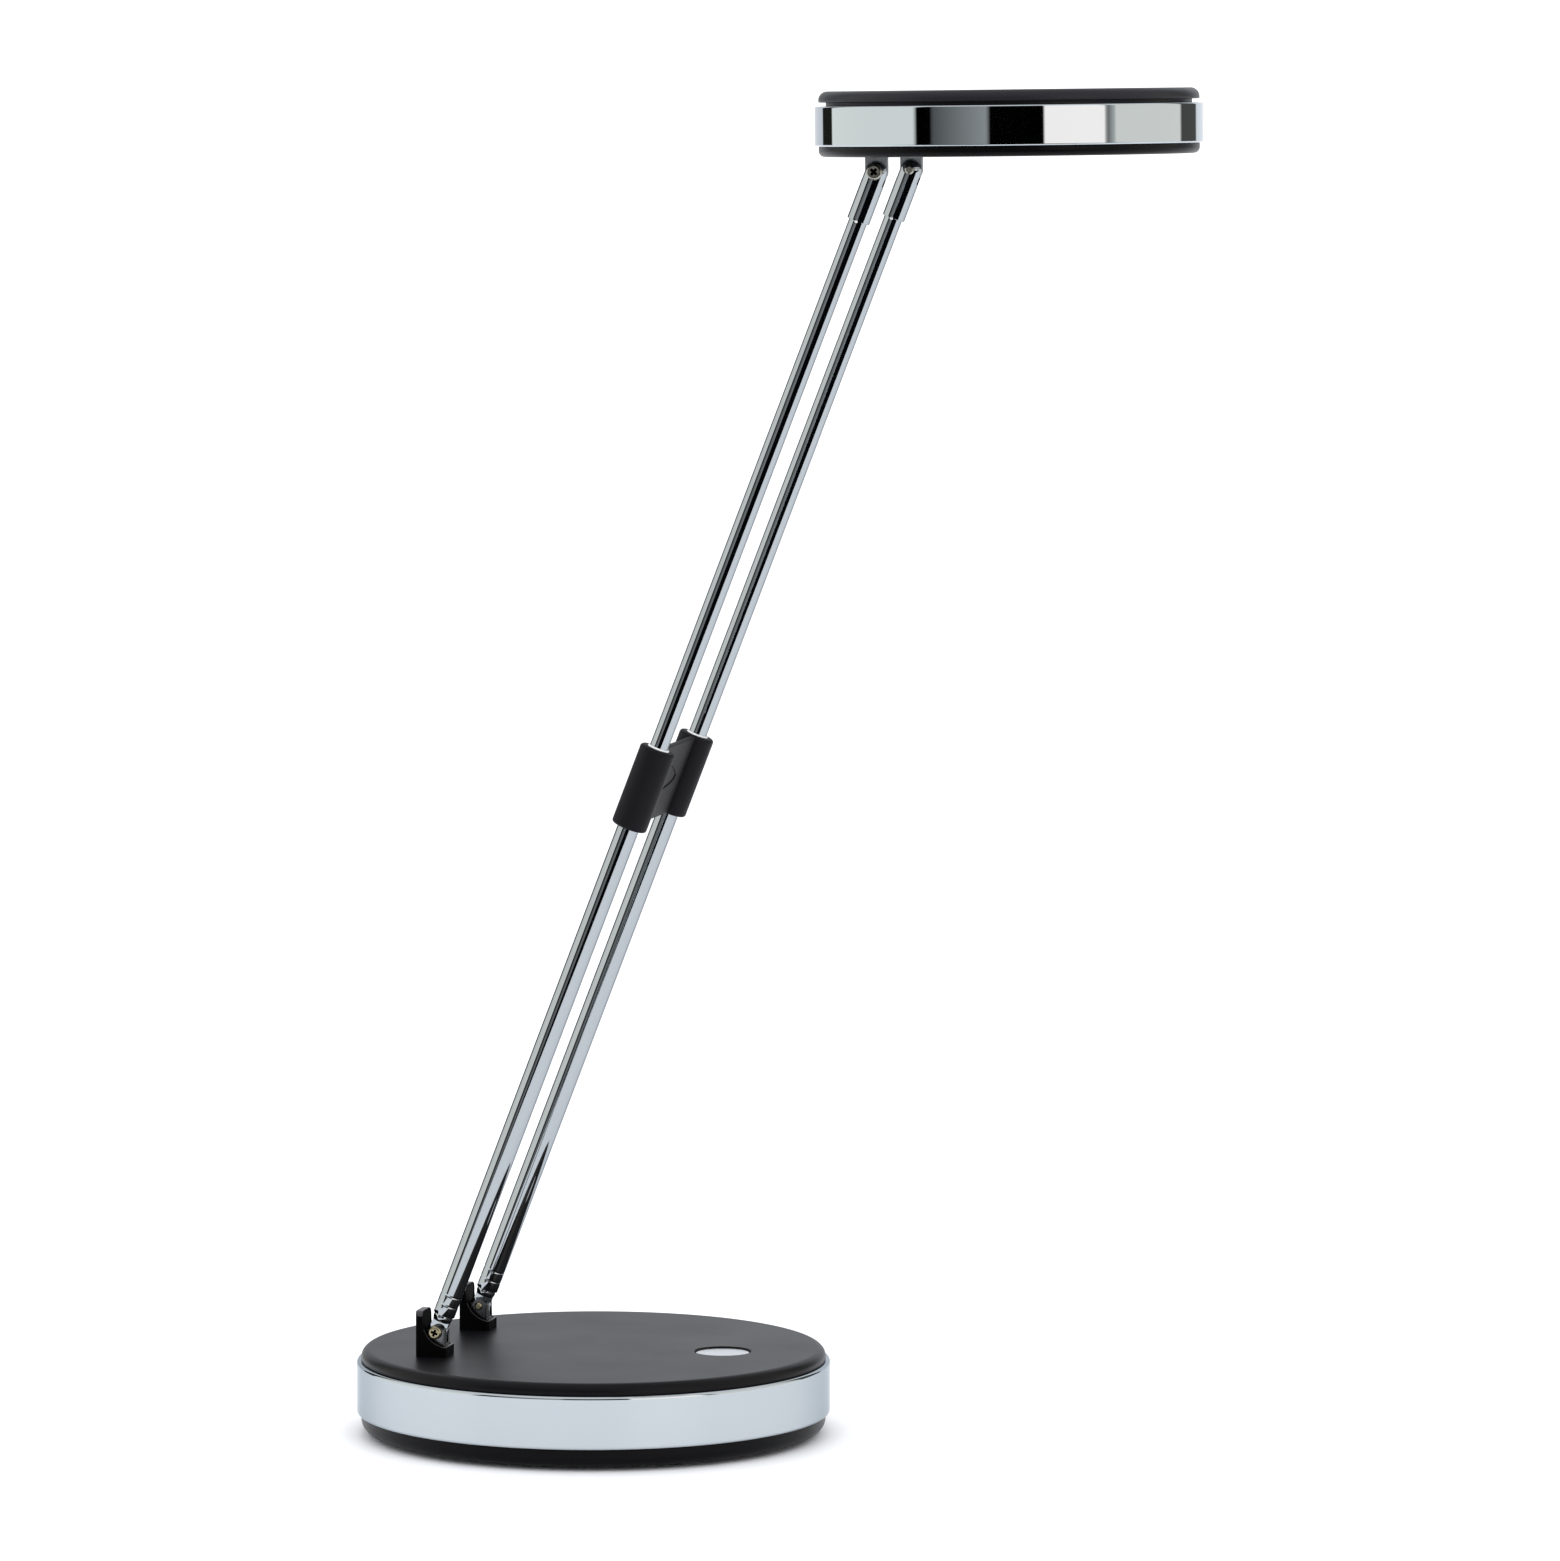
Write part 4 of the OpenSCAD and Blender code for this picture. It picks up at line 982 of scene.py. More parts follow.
@dataclass
class BaseShell:
    """The weighted base: cover, chrome band, pan, rubber pad and their screws."""

    band_r: float = 65.0
    band_t: float = 3.0
    band_low: float = 6.0
    band_high: float = 20.5
    band_round: float = 0.9
    cover_r: float = 63.7
    cover_high: float = 23.7
    cover_t: float = 2.2
    cover_round: float = 2.4
    spigot_r: float = 61.95
    inner_r: float = 59.95
    spigot_h: float = 5.0
    pan_r: float = 63.7
    pan_low: float = 1.0
    pan_round: float = 3.2
    recess_r: float = 43.7
    recess_high: float = 1.5
    pan_floor: float = 3.5
    pad_r: float = 43.5
    pad_grooves: int = 6
    pad_pitch: float = 5.5
    pad_margin: float = 4.0
    groove: tuple[tuple[float, float], ...] = ((-0.6, 0.0), (-0.35, 0.4), (0.35, 0.4), (0.6, 0.0))
    screw_circle: float = 47.5
    screw_angles: tuple[float, ...] = (45, 135, 225, 315)
    screw_seat: float = 5.0
    screw_bore: float = 5.8
    screw: CrossScrew = field(default_factory=lambda: CrossScrew(3.0, 12.5, 5.4, 2.0))
    button_x: float = 36.3
    button_hole: float = 7.7
    button_lip: float = 0.3
    inlet_z: float = 13.25
    inlet_hole: float = 8.1

    def inlet_drill(self) -> Mesh:
        """The hole through the walls for the inlet's nose."""
        at = shift(-self.band_r, 0, self.inlet_z) @ turn("Y", 90)
        return moved(rod(self.inlet_hole / 2, -1, 8, 64), at)

    def cover(self) -> None:
        """The grained cover: rounded rim, wall inside the band, hole for the button."""
        top, under = self.cover_high, self.cover_high - self.cover_t
        band, foot = self.band_high, self.band_high - self.spigot_h
        corners = [
            (0, top, 0), (self.cover_r, top, self.cover_round), (self.cover_r, band, 0.25),
            (self.spigot_r, band, 0), (self.spigot_r, foot, 0.3),
            (self.inner_r, foot, 0.3), (self.inner_r, under, 0.5), (0, under, 0),
        ]  # fmt: skip
        piece = turned("base_top_cover", corners, 8, 256)
        bore, lip = self.button_hole, self.button_lip
        hole = [
            (0, under - 1), (bore, under - 1), (bore, top - lip),
            (bore + lip, top), (bore + lip + 0.5, top + 0.5), (0, top + 0.5),
        ]  # fmt: skip
        cut(piece, [moved(lathe(hole, 96), shift(self.button_x, 0, 0)), self.inlet_drill()])
        hand_over(smooth(piece), Finishes.COVER_ABS, Body.BASE, ["base_cover"])

    def band(self) -> None:
        """The chrome band, rounded at both outer edges, pierced for the inlet."""
        edges = (self.band_low, self.band_high, self.band_round)
        piece = chrome_band("base_chrome_band", self.band_r, self.band_t, *edges, 10)
        cut(piece, [self.inlet_drill()])
        hand_over(smooth(piece), Finishes.CHROMED_BASE, Body.BASE, ["base_band"])

    def pan(self) -> None:
        """The pan: rounded rim, recess for the pad and sunk holes for the screws."""
        rim = self.band_low + self.spigot_h
        corners = [
            (0, self.recess_high, 0), (self.recess_r, self.recess_high, 0.1),
            (self.recess_r, self.pan_low, 0.1), (self.pan_r, self.pan_low, self.pan_round),
            (self.pan_r, self.band_low, 0.25), (self.spigot_r, self.band_low, 0),
            (self.spigot_r, rim, 0.3), (self.inner_r, rim, 0.3),
            (self.inner_r, self.pan_floor, 0.5), (0, self.pan_floor, 0),
        ]  # fmt: skip
        piece = turned("base_under_pan", corners, 8, 256)
        ends = (-1, self.pan_floor + 1)
        holes = drills(self.screw_angles, self.screw_circle, self.screw_bore / 2, *ends)
        cut(piece, [*holes, self.inlet_drill()])
        hand_over(smooth(piece), Finishes.PAN_ABS, Body.BASE, ["base_pan"])

    def pad(self) -> None:
        """The non-slip pad, with concentric grooves on its face."""
        first, r, high = self.pad_r - self.pad_margin, self.pad_r, self.recess_high
        grooves = [
            (first - k * self.pad_pitch + offset, depth)
            for k in range(self.pad_grooves)
            for offset, depth in self.groove
        ]
        rim = [(r - 0.35, 0), (r - 0.1, 0.1), (r, 0.35), (r, high)]
        section = [(0, 0), *sorted(grooves), *rim, (0, high)]
        piece = as_object("base_rubber_pad", lathe(section, 192))
        # The pad is black rubber, made darker as painted contact shadow.
        hand_over(smooth(piece), Finishes.RUBBER, Body.BASE, ["foot_pad"])

    def screws(self, rings: RingTree) -> None:
        """The four screws that close the base.

        Args:
            rings: The tree that sets fasteners on a circle.
        """
        count, first, steel = len(self.screw_angles), self.screw_angles[0], Finishes.BRIGHT_STEEL
        mesh = self.screw.mesh()
        piece = rings.make("base_case_screws", mesh, count, self.screw_circle, first, steel)
        place(piece, shift(0, 0, self.screw_seat))
        hand_over(smooth(piece), steel, Body.BASE, ["base_screws"])

    def build(self, rings: RingTree) -> None:
        """Builds the base shell.

        Args:
            rings: The tree that sets fasteners on a circle.
        """
        self.cover()
        self.band()
        self.pan()
        self.pad()
        self.screws(rings)
        dress_nodes(Finishes.RAW_STEEL, "ballast_plate")


@dataclass
class Controls:
    """The power button, the board below it and the DC inlet at the back."""

    button_x: float = 36.3
    button_r: float = 7.4
    button_high: float = 23.25
    button_dish: float = 0.12
    flange_r: float = 8.4
    flange_high: float = 21.4
    flange_t: float = 1.0
    stem_r: float = 2.2
    stem_low: float = 19.4
    nose_x: float = -64.5
    inlet_z: float = 13.25
    nose_r: float = 4.0
    socket_r: float = 2.8
    socket_depth: float = 9.0
    pin_r: float = 1.0
    pin_ends: tuple[float, float] = (1.0, 9.2)
    inlet_l: float = 17.95

    def button(self) -> None:
        """The satin button: a shallow dish with a bright edge, a flange and a stem."""
        top, r, brim = self.button_high, self.button_r, self.flange_high
        under = brim - self.flange_t
        corners = [
            (0, top - self.button_dish, 0), (r - 1.2, top - 0.02, 1.0), (r, top, 0.3), (r, brim, 0),
            (self.flange_r, brim, 0.1), (self.flange_r, under, 0.1),
            (self.stem_r, under, 0), (self.stem_r, self.stem_low, 0), (0, self.stem_low, 0),
        ]  # fmt: skip
        piece = turned("round_power_button", corners, 6, 128, shift(self.button_x, 0, 0))
        satin = Finishes.SATIN_BUTTON
        hand_over(smooth(piece), satin, Body.BUTTON, ["power_button"])

    def inlet(self) -> None:
        """The inlet's black nose with its socket, and the metal pin in it."""
        at = shift(self.nose_x, 0, self.inlet_z) @ turn("Y", 90)
        deep, end = self.socket_depth, self.inlet_l
        corners = [
            (0, deep, 0), (self.socket_r, deep, 0.1), (self.socket_r, 0, 0.25),
            (self.nose_r, 0, 0.3), (self.nose_r, end, 0.2), (0, end, 0),
        ]  # fmt: skip
        nose = turned("dc_inlet_nose", corners, 4, 64, at)
        hand_over(smooth(nose), Finishes.PAN_ABS, Body.BASE, ["dc_inlet"])
        (tip, foot), r = self.pin_ends, self.pin_r
        corners = [(0, tip, 0), (r, tip, 0.4), (r, foot, 0), (0, foot, 0)]
        pin = turned("dc_inlet_pin", corners, 4, 32, at)
        hand_over(smooth(pin), Finishes.BRIGHT_STEEL, Body.BASE)

    def build(self) -> None:
        """Builds the button and the inlet, and dresses what lies inside."""
        self.button()
        self.inlet()
        dress_nodes(Finishes.SOLDER_RESIST, "control_board")
        dress_nodes(Finishes.EPOXY, "board_parts", "tact_switch", "switch_plunger")
        dress_nodes(Finishes.BRIGHT_STEEL, "board_screws", "lug_nuts")
        dress_nodes(Finishes.BRASS, "solder_tags")
        dress_nodes(Finishes.PVC, "base_leads")


@dataclass
class BaseHinge:
    """Brackets, lugs and hinge screws at the feet of the arms."""

    bracket_round: float = 0.38
    lug_round: float = 0.12
    lug_w: float = 5.2
    wall_low: float = 25.0
    slope: float = 0.3
    screw: CrossScrew = field(default_factory=lambda: CrossScrew(2.0, 5.7, 3.7, 1.3))

    def rub(self, bracket: Piece) -> None:
        """Marks the tops of a bracket's walls for the lighter nylon, a painted highlight where
        light falls from above.

        Args:
            bracket: The bracket.
        """
        marks = bracket.data.attributes.new(MARK, "INT", "FACE").data
        # Upward faces high on the walls are marked: they get the painted highlight.
        for face, mark in zip(bracket.data.polygons, marks):
            high = face.center.z > self.wall_low * MM
            mark.value = int(high and face.normal.z > self.slope)

    def build(self) -> None:
        """Builds both sides of the hinge."""
        for side in Side:
            dull, highlight_nylon = Finishes.BRACKET_NYLON, Finishes.RUBBED_NYLON
            node = f"hinge_bracket_{side.word}"
            bracket = from_cad(f"black_bracket_{side.word}", node, self.bracket_round, 4)
            self.rub(bracket)
            hand_over(bracket, dull, Body.BASE, [node], highlight_nylon)
            node = f"hinge_lug_{side.word}"
            lug = from_cad(f"steel_lug_{side.word}", node, self.lug_round)
            hand_over(lug, Finishes.NICKELLED_STEEL, Body.BASE, [node])
            at = LINES.foot(side) @ shift(0, -self.lug_w / 2, 0) @ turn("X", -90)
            screw = smooth(as_object(f"foot_hinge_screw_{side.word}", self.screw.mesh(), at))
            node = f"foot_screw_{side.word}"
            hand_over(screw, Finishes.YELLOW_STEEL, Body.BASE, [node])


# ---- Arms ------------------------------------------------------------------------------


@dataclass
class LowerArms:
    """Foot knuckles, lower tubes with their rolled grooves, and guide bushes."""

    tube_r: float = 3.0
    wall: float = 0.4
    start: float = 5.0
    end: float = 171.0
    rim: float = 0.12
    grooves: tuple[float, float] = (8.0, 10.8)
    groove_half: float = 0.416
    groove_depth: float = 0.08
    bush_h: float = 1.4
    bush_bore_r: float = 2.55
    tongue_r: float = 2.9
    tongue_t: float = 2.0
    neck_start: float = 3.05
    neck_r: float = 2.7
    neck_in_tube: float = 2.0
    pin_r: float = 1.05

    def tube_section(self) -> Loop:
        """The tube's wall, with a smooth roll where each groove is.

        Returns:
            The closed section, in mm.
        """
        r, rim, bore = self.tube_r, self.rim, self.tube_r - self.wall
        rolled: Loop = []
        for middle in self.grooves:
            for k in range(-8, 9):
                dip = self.groove_depth * (0.5 + 0.5 * math.cos(math.pi * k / 8))
                rolled.append((r - dip, middle + k / 8 * self.groove_half))
        foot = [(bore, self.start), (r - rim, self.start), (r - 0.3 * rim, self.start + 0.3 * rim)]
        mouth = [(r, self.end - rim), (r - rim, self.end), (bore, self.end)]
        return [*foot, (r, self.start + rim), *rolled, *mouth]

    def tube(self, side: Side) -> None:
        """Builds one lower tube.

        Args:
            side: The arm.
        """
        mesh = lathe(self.tube_section(), 96)
        piece = smooth(as_object(f"lower_arm_tube_{side.word}", mesh, LINES.arm(side)))
        node = f"lower_tube_{side.word}"
        hand_over(piece, Finishes.CHROMED_TUBE, Body.LOWER_ARMS, [node])

    def knuckle(self, side: Side) -> None:
        """Builds one foot: a barrel-shaped neck under the tube and a flat round tongue.

        Args:
            side: The arm.
        """
        low, high, r, half = self.neck_start, self.start, self.neck_r, self.tongue_t / 2
        plug = high + self.neck_in_tube
        neck = [
            (0, plug, 0), (r - 0.15, plug, 0), (r - 0.15, high - 0.1, 0.1),
            (r, (low + high) / 2, 1.6), (r - 0.35, low, 0.2), (0, low, 0),
        ]  # fmt: skip
        piece = turned(f"arm_foot_{side.word}", neck, 8, 96)
        t = self.tongue_r
        disc = fillet([(0, -half, 0), (t, -half, 0.15), (t, half, 0.15), (0, half, 0)], 3)
        across = turn("X", 90)
        link = block((2 * r - 0.8, self.tongue_t, low + 0.2), (0, 0, (low + 0.2) / 2))
        cut(piece, [moved(lathe(disc, 96), across), link], join=True)
        cut(piece, [moved(rod(self.pin_r, -half - 1, half + 1), across)])
        place(piece, LINES.arm(side))
        node = f"foot_knuckle_{side.word}"
        hand_over(smooth(piece), Finishes.CHROMED_TUBE, Body.LOWER_ARMS, [node])

    def bush(self, side: Side) -> None:
        """Builds the guide bush at one lower tube's mouth.

        Args:
            side: The arm.
        """
        bore, r, low, high = self.bush_bore_r, self.tube_r, self.end, self.end + self.bush_h
        corners = [(bore, low, 0), (r, low, 0.1), (r, high, 0.35), (bore, high, 0.1)]
        piece = smooth(turned(f"tube_mouth_bush_{side.word}", corners, 4, 64, LINES.arm(side)))
        node = f"guide_bush_{side.word}"
        hand_over(piece, Finishes.WHITE_NYLON, Body.LOWER_ARMS, [node])

    def build(self) -> None:
        """Builds the lower arms."""
        for side in Side:
            self.tube(side)
            self.knuckle(side)
            self.bush(side)


@dataclass
class ArmClip:
    """The moulded clip: a rounded sleeve round each lower tube, and a web between them.

    bead gives the line of the snap tongue's bead: how far across and along the arms.
    """

    start: float = 149.0
    end: float = 172.0
    sleeve_r: float = 4.9
    bore_r: float = 3.05
    edge: float = 0.85
    web_t: float = 1.6
    web_half: float = 19.65
    web_inset: float = 0.3
    web_round: float = 0.35
    bead_r: float = 0.34
    bead_out: float = 0.06
    bead: tuple[tuple[float, float], ...] = (
        (-13.0, 168.4), (-6.2, 166.8), (0.3, 165.2), (5.9, 163.3), (8.7, 161.5),
        (7.3, 160.1), (2.8, 159.0), (-2.2, 158.2), (-6.0, 157.3), (-13.0, 155.9),
    )  # fmt: skip

    def web(self) -> Mesh:
        """The flat web with rounded edges.

        Returns:
            The web's mesh along the arms.
        """
        height = self.end - self.start - 2 * self.web_inset
        web = block((self.web_t, 2 * self.web_half, height), (0, 0, (self.start + self.end) / 2))
        bmesh.ops.bevel(
            web,
            geom=web.edges[:],
            offset=self.web_round * MM,
            segments=3,
            affect="EDGES",
            profile=0.5,
        )
        return web

    def tongue_bead(self) -> Mesh:
        """The fine bead that sets off the web's snap tongue, on both faces.

        Returns:
            The bead's mesh along the arms.
        """
        curve = bpy.data.curves.new("tongue_bead", "CURVE")
        curve.dimensions, curve.bevel_depth, curve.use_fill_caps = "3D", self.bead_r * MM, True
        curve.bevel_resolution, curve.resolution_u = 2, 6
        for face in (-1, 1):
            line = curve.splines.new("BEZIER")
            line.bezier_points.add(len(self.bead) - 1)
            for point, (y, s) in zip(line.bezier_points, self.bead):
                point.co = Vector((face * (self.web_t / 2 + self.bead_out), y, s)) * MM
                point.handle_left_type = point.handle_right_type = "AUTO"
        holder = bpy.data.objects.new("tongue_bead", curve)
        bpy.context.scene.collection.objects.link(holder)
        return taken_back(holder)

    def build(self) -> None:
        """Builds the clip."""
        low, high, r = self.start, self.end, self.sleeve_r
        sleeve = fillet([(0, low, 0), (r, low, self.edge), (r, high, self.edge), (0, high, 0)], 8)
        near, far = (LINES.arm(side) for side in Side)
        middle = shift(0, -LINES.arm_y, 0) @ far @ Matrix.Diagonal((1, -1, 1, 1))
        piece = as_object("arm_clip_moulding", lathe(sleeve, 128), near)
        between = [moved(self.web(), middle), moved(self.tongue_bead(), middle)]
        cut(piece, [moved(lathe(sleeve, 128), far), *between], join=True)
        cut(piece, [moved(rod(self.bore_r, low - 1, high + 1, 96), at) for at in (near, far)])
        hand_over(smooth(piece), Finishes.NYLON, Body.LOWER_ARMS, ["arm_clip"])


@dataclass
class UpperArms:
    """Upper tubes, contact bushes, fork sleeves and the screws of the head hinge."""

    tube_r: float = 2.5
    wall: float = 0.4
    start: float = 156.0
    end: float = 332.5
    flat_y: float = 2.7
    fork_r: float = 3.1
    fork_start: float = 324.0
    fork_rim: float = 0.1
    fork_slot: float = 2.1
    fork_slot_depth: float = 3.2
    notch_r: float = 0.6
    pin_r: float = 1.3
    dot_r: float = 0.48
    screw: CrossScrew = field(default_factory=lambda: CrossScrew(2.5, 6.2, 4.2, 1.5))

    def tube(self, side: Side) -> None:
        """Builds one upper tube.

        Args:
            side: The arm.
        """
        bore, r, low, high = self.tube_r - self.wall, self.tube_r, self.start, self.end
        corners = [(bore, low, 0), (r, low, 0.1), (r, high, 0.1), (bore, high, 0)]
        piece = smooth(turned(f"upper_arm_tube_{side.word}", corners, 3, 96, LINES.arm(side)))
        node = f"upper_tube_{side.word}"
        hand_over(piece, Finishes.CHROMED_TUBE, Body.UPPER_ARMS, [node])

    def fork(self, side: Side) -> None:
        """Builds one fork sleeve: a domed end, the tab's slot, the screw's flat, notches.

        Args:
            side: The arm.
        """
        r, low, top, rim = self.fork_r, self.fork_start, LINES.arm_l, self.fork_rim
        angles = [math.pi * k / 28 for k in range(14)]
        dome = [(r * math.cos(a), top + r * math.sin(a)) for a in angles]
        mouth = [(self.tube_r, low), (r - rim, low), (r, low + rim)]
        section = [*mouth, *dome, (0, top + r), (0, self.end), (self.tube_r, self.end)]
        piece = as_object(f"arm_fork_{side.word}", lathe(section, 128))
        at_line, at_foot = (shift(0, 0, z) @ turn("X", 90) for z in (top, low))
        deep, out = self.fork_slot_depth, r + 1
        slot = block((2 * out, self.fork_slot, deep + r + 2), (0, 0, top + (r + 2 - deep) / 2))
        pin = moved(rod(self.pin_r, -out, out), at_line)
        flat = moved(rod(self.screw.head / 2 + 0.1, self.flat_y, out, 64), at_line)
        cut(piece, [slot, pin, flat, moved(rod(self.notch_r, -out, out), at_foot)])
        place(piece, LINES.arm(side))
        node = f"fork_sleeve_{side.word}"
        hand_over(smooth(piece), Finishes.CHROMED_TUBE, Body.UPPER_ARMS, [node])

    def dots(self, side: Side) -> None:
        """Painted glints: a small bright ball in each of a fork sleeve's notches, where the notch
        edge catches the light.

        Args:
            side: The arm.
        """
        mesh = bmesh.new()
        for front in (-1, 1):
            at = shift(0, front * self.tube_r, self.fork_start)
            bmesh.ops.create_uvsphere(
                mesh, u_segments=24, v_segments=16, radius=self.dot_r * MM, matrix=at
            )
        piece = smooth(as_object(f"tinned_dots_{side.word}", mesh, LINES.arm(side)))
        hand_over(piece, Finishes.TINNED_DOT, Body.UPPER_ARMS)

    def hinge_screw(self, side: Side) -> None:
        """Builds one screw of the head hinge.

        Args:
            side: The arm.
        """
        at = LINES.arm(side) @ shift(0, -self.flat_y, LINES.arm_l) @ turn("X", -90)
        piece = smooth(as_object(f"head_hinge_screw_{side.word}", self.screw.mesh(), at))
        node = f"head_screw_{side.word}"
        hand_over(piece, Finishes.GREY_STEEL, Body.UPPER_ARMS, [node])

    def build(self) -> None:
        """Builds the upper arms."""
        for side in Side:
            self.tube(side)
            self.fork(side)
            self.dots(side)
            self.hinge_screw(side)
        dress_nodes(Finishes.BRASS, "contact_bush_right", "contact_bush_left")


# ---- Head ------------------------------------------------------------------------------


@dataclass
class LampHead:
    """The flat round head: cover, chrome band, bezel, diffuser, diodes and tabs."""

    band_r: float = 52.0
    band_t: float = 2.4
    band_low: float = 6.75
    band_high: float = 17.45
    band_round: float = 0.5
    cover_r: float = 51.0
    cover_high: float = 21.45
    cover_low: float = 18.45
    cover_round: float = 2.4
    neck_r: float = 49.0
    plate_t: float = 2.0
    spigot_r: float = 49.55
    spigot_h: float = 3.5
    inner_r: float = 47.95
    bezel_r: float = 51.0
    bezel_low: float = 3.95
    bezel_round: float = 1.6
    light_r: float = 29.0
    ledge_r: float = 31.0
    ledge_z: float = 4.55
    diffuser_r: float = 30.95
    diffuser_t: float = 1.6
    case_circle: float = 45.05
    case_angles: tuple[float, ...] = (0, 120, 240)
    case_seat: float = 6.95
    case_bore: float = 4.8
    case_screw: CrossScrew = field(default_factory=lambda: CrossScrew(2.5, 11.4, 4.4, 1.4))
    tab_slot: tuple[float, float] = (6.4, 2.4)
    tab_round: float = 0.12
    led_size: tuple[float, float, float] = (3.5, 2.8, 0.8)
    led_frame: tuple[float, float] = (1.0, 0.8)
    led_rings: int = 3
    led_ring_n: int = 6
    led_ring_step: float = 7.2
    led_top: float = 11.95

    def cover(self) -> None:
        """The grained cover with its rounded rim."""
        top, low, under = self.cover_high, self.cover_low, self.cover_high - self.plate_t
        band, foot = self.band_high, self.band_high - self.spigot_h
        corners = [
            (0, top, 0), (self.cover_r, top, self.cover_round), (self.cover_r, low, 0.35),
            (self.neck_r, low, 0.1), (self.neck_r, band, 0.1), (self.spigot_r, band, 0.1),
            (self.spigot_r, foot, 0.3), (self.inner_r, foot, 0.3),
            (self.inner_r, under, 0.5), (0, under, 0),
        ]  # fmt: skip
        piece = turned("head_top_cover", corners, 8, 256, LINES.head_middle())
        # The head's cover gets the lighter black, a painted highlight on its rim and top edge.
        hand_over(smooth(piece), Finishes.HEAD_ABS, Body.HEAD, ["head_cover"])

    def band(self) -> None:
        """The chrome band."""
        edges = (self.band_low, self.band_high, self.band_round)
        piece = chrome_band("head_chrome_band", self.band_r, self.band_t, *edges, 8)
        place(piece, LINES.head_middle())
        hand_over(smooth(piece), Finishes.CHROMED_BAND, Body.HEAD, ["head_band"])

    def bezel(self) -> None:
        """The bezel with the light opening, the tabs' slots and sunk screw holes."""
        low, plate, ledge = self.bezel_low, self.bezel_low + self.plate_t, self.ledge_z
        rim = self.band_low + self.spigot_h
        corners = [
            (self.light_r, low, 0.4), (self.bezel_r, low, self.bezel_round),
            (self.bezel_r, self.band_low, 0.25), (self.spigot_r, self.band_low, 0),
            (self.spigot_r, rim, 0.3), (self.inner_r, rim, 0.3), (self.inner_r, plate, 0.5),
            (self.ledge_r, plate, 0), (self.ledge_r, ledge, 0), (self.light_r, ledge, 0),
        ]  # fmt: skip
        piece = turned("head_under_bezel", corners, 6, 256)
        holes = drills(self.case_angles, self.case_circle, self.case_bore / 2, 0, self.case_seat)
        slots = [
            block((*self.tab_slot, 6.0), (-LINES.head_reach, side.value * LINES.arm_y, low + 1))
            for side in Side
        ]
        cut(piece, [*holes, *slots])
        place(piece, LINES.head_middle())
        hand_over(smooth(piece), Finishes.PAN_ABS, Body.HEAD, ["head_bezel"])

    def optics(self) -> None:
        """The diffuser and what shows through it."""
        r, low, high = self.diffuser_r, self.ledge_z, self.ledge_z + self.diffuser_t
        corners = [(0, low, 0), (r, low, 0.15), (r, high, 0.15), (0, high, 0)]
        piece = turned("opal_diffuser", corners, 3, 128, LINES.head_middle())
        hand_over(smooth(piece), Finishes.OPAL_ACRYLIC, Body.HEAD, ["diffuser"])
        dress_nodes(Finishes.WHITE_ABS, "reflector", "led_board")
        dress_nodes(Finishes.RAW_ALUMINIUM, "heat_plate")
        dress_nodes(Finishes.BRIGHT_STEEL, "heat_plate_screws", "tab_screws")
        dress_nodes(Finishes.PVC, "head_leads")

    def diodes(self, rings: RingTree) -> None:
        """White packages with a phosphor window, in rings under the board.

        Args:
            rings: The tree that sets copies on a circle.
        """
        length, width, high = self.led_size
        across = (length - self.led_frame[0], width - self.led_frame[1])
        white, yellow = Finishes.WHITE_ABS, Finishes.PHOSPHOR
        at = LINES.head_middle() @ shift(0, 0, self.led_top)
        for ring in range(1, self.led_rings + 1):
            count, radius = ring * self.led_ring_n, ring * self.led_ring_step
            package = as_object(f"diode_pattern_{ring}", block(self.led_size, (0, 0, -high / 2)))
            frame = taken_back(cut(package, [block((*across, 0.2), (0, 0, -high))]))
            window = block((*across, 0.1), (0, 0, -high + 0.08))
            frames = rings.make(f"led_packages_{ring}", frame, count, radius, 0, white)
            windows = rings.make(f"led_windows_{ring}", window, count, radius, 0, yellow)
            for piece, finish in ((frames, white), (windows, yellow)):
                hand_over(place(piece, at), finish, Body.HEAD, ["leds"])

    def tabs(self) -> None:
        """The two steel tabs that hang into the forks."""
        for side in Side:
            node = f"head_tab_{side.word}"
            tab = from_cad(f"steel_tab_{side.word}", node, self.tab_round)
            hand_over(tab, Finishes.ZINC_STEEL, Body.HEAD, [node])

    def screws(self, rings: RingTree) -> None:
        """The three screws that close the head.

        Args:
            rings: The tree that sets fasteners on a circle.
        """
        count, first, steel = len(self.case_angles), self.case_angles[0], Finishes.BRIGHT_STEEL
        mesh = self.case_screw.mesh()
        piece = rings.make("head_closing_screws", mesh, count, self.case_circle, first, steel)
        place(piece, LINES.head_middle() @ shift(0, 0, self.case_seat))
        hand_over(smooth(piece), steel, Body.HEAD, ["head_case_screws"])

    def build(self, rings: RingTree) -> None:
        """Builds the head.

        Args:
            rings: The tree that sets fasteners on a circle.
        """
        self.cover()
        self.band()
        self.bezel()
        self.optics()
        self.diodes(rings)
        self.tabs()
        self.screws(rings)


# ---- Studio ----------------------------------------------------------------------------


@dataclass(frozen=True)
class Stripe:
    """One upright strip of the surroundings, from start on, in degrees off the camera.

    It runs from one shade to the other, or keeps to the first if there is no other.
    """

    start: float
    shade: str
    power: float = 1.0
    last_shade: str = ""

    def radiance(self) -> list[Colour]:
        """The linear colours at the strip's two sides, times its power."""
        sides = [linear(self.shade), linear(self.last_shade or self.shade)]
        return [(r * self.power, g * self.power, b * self.power, a) for r, g, b, a in sides]


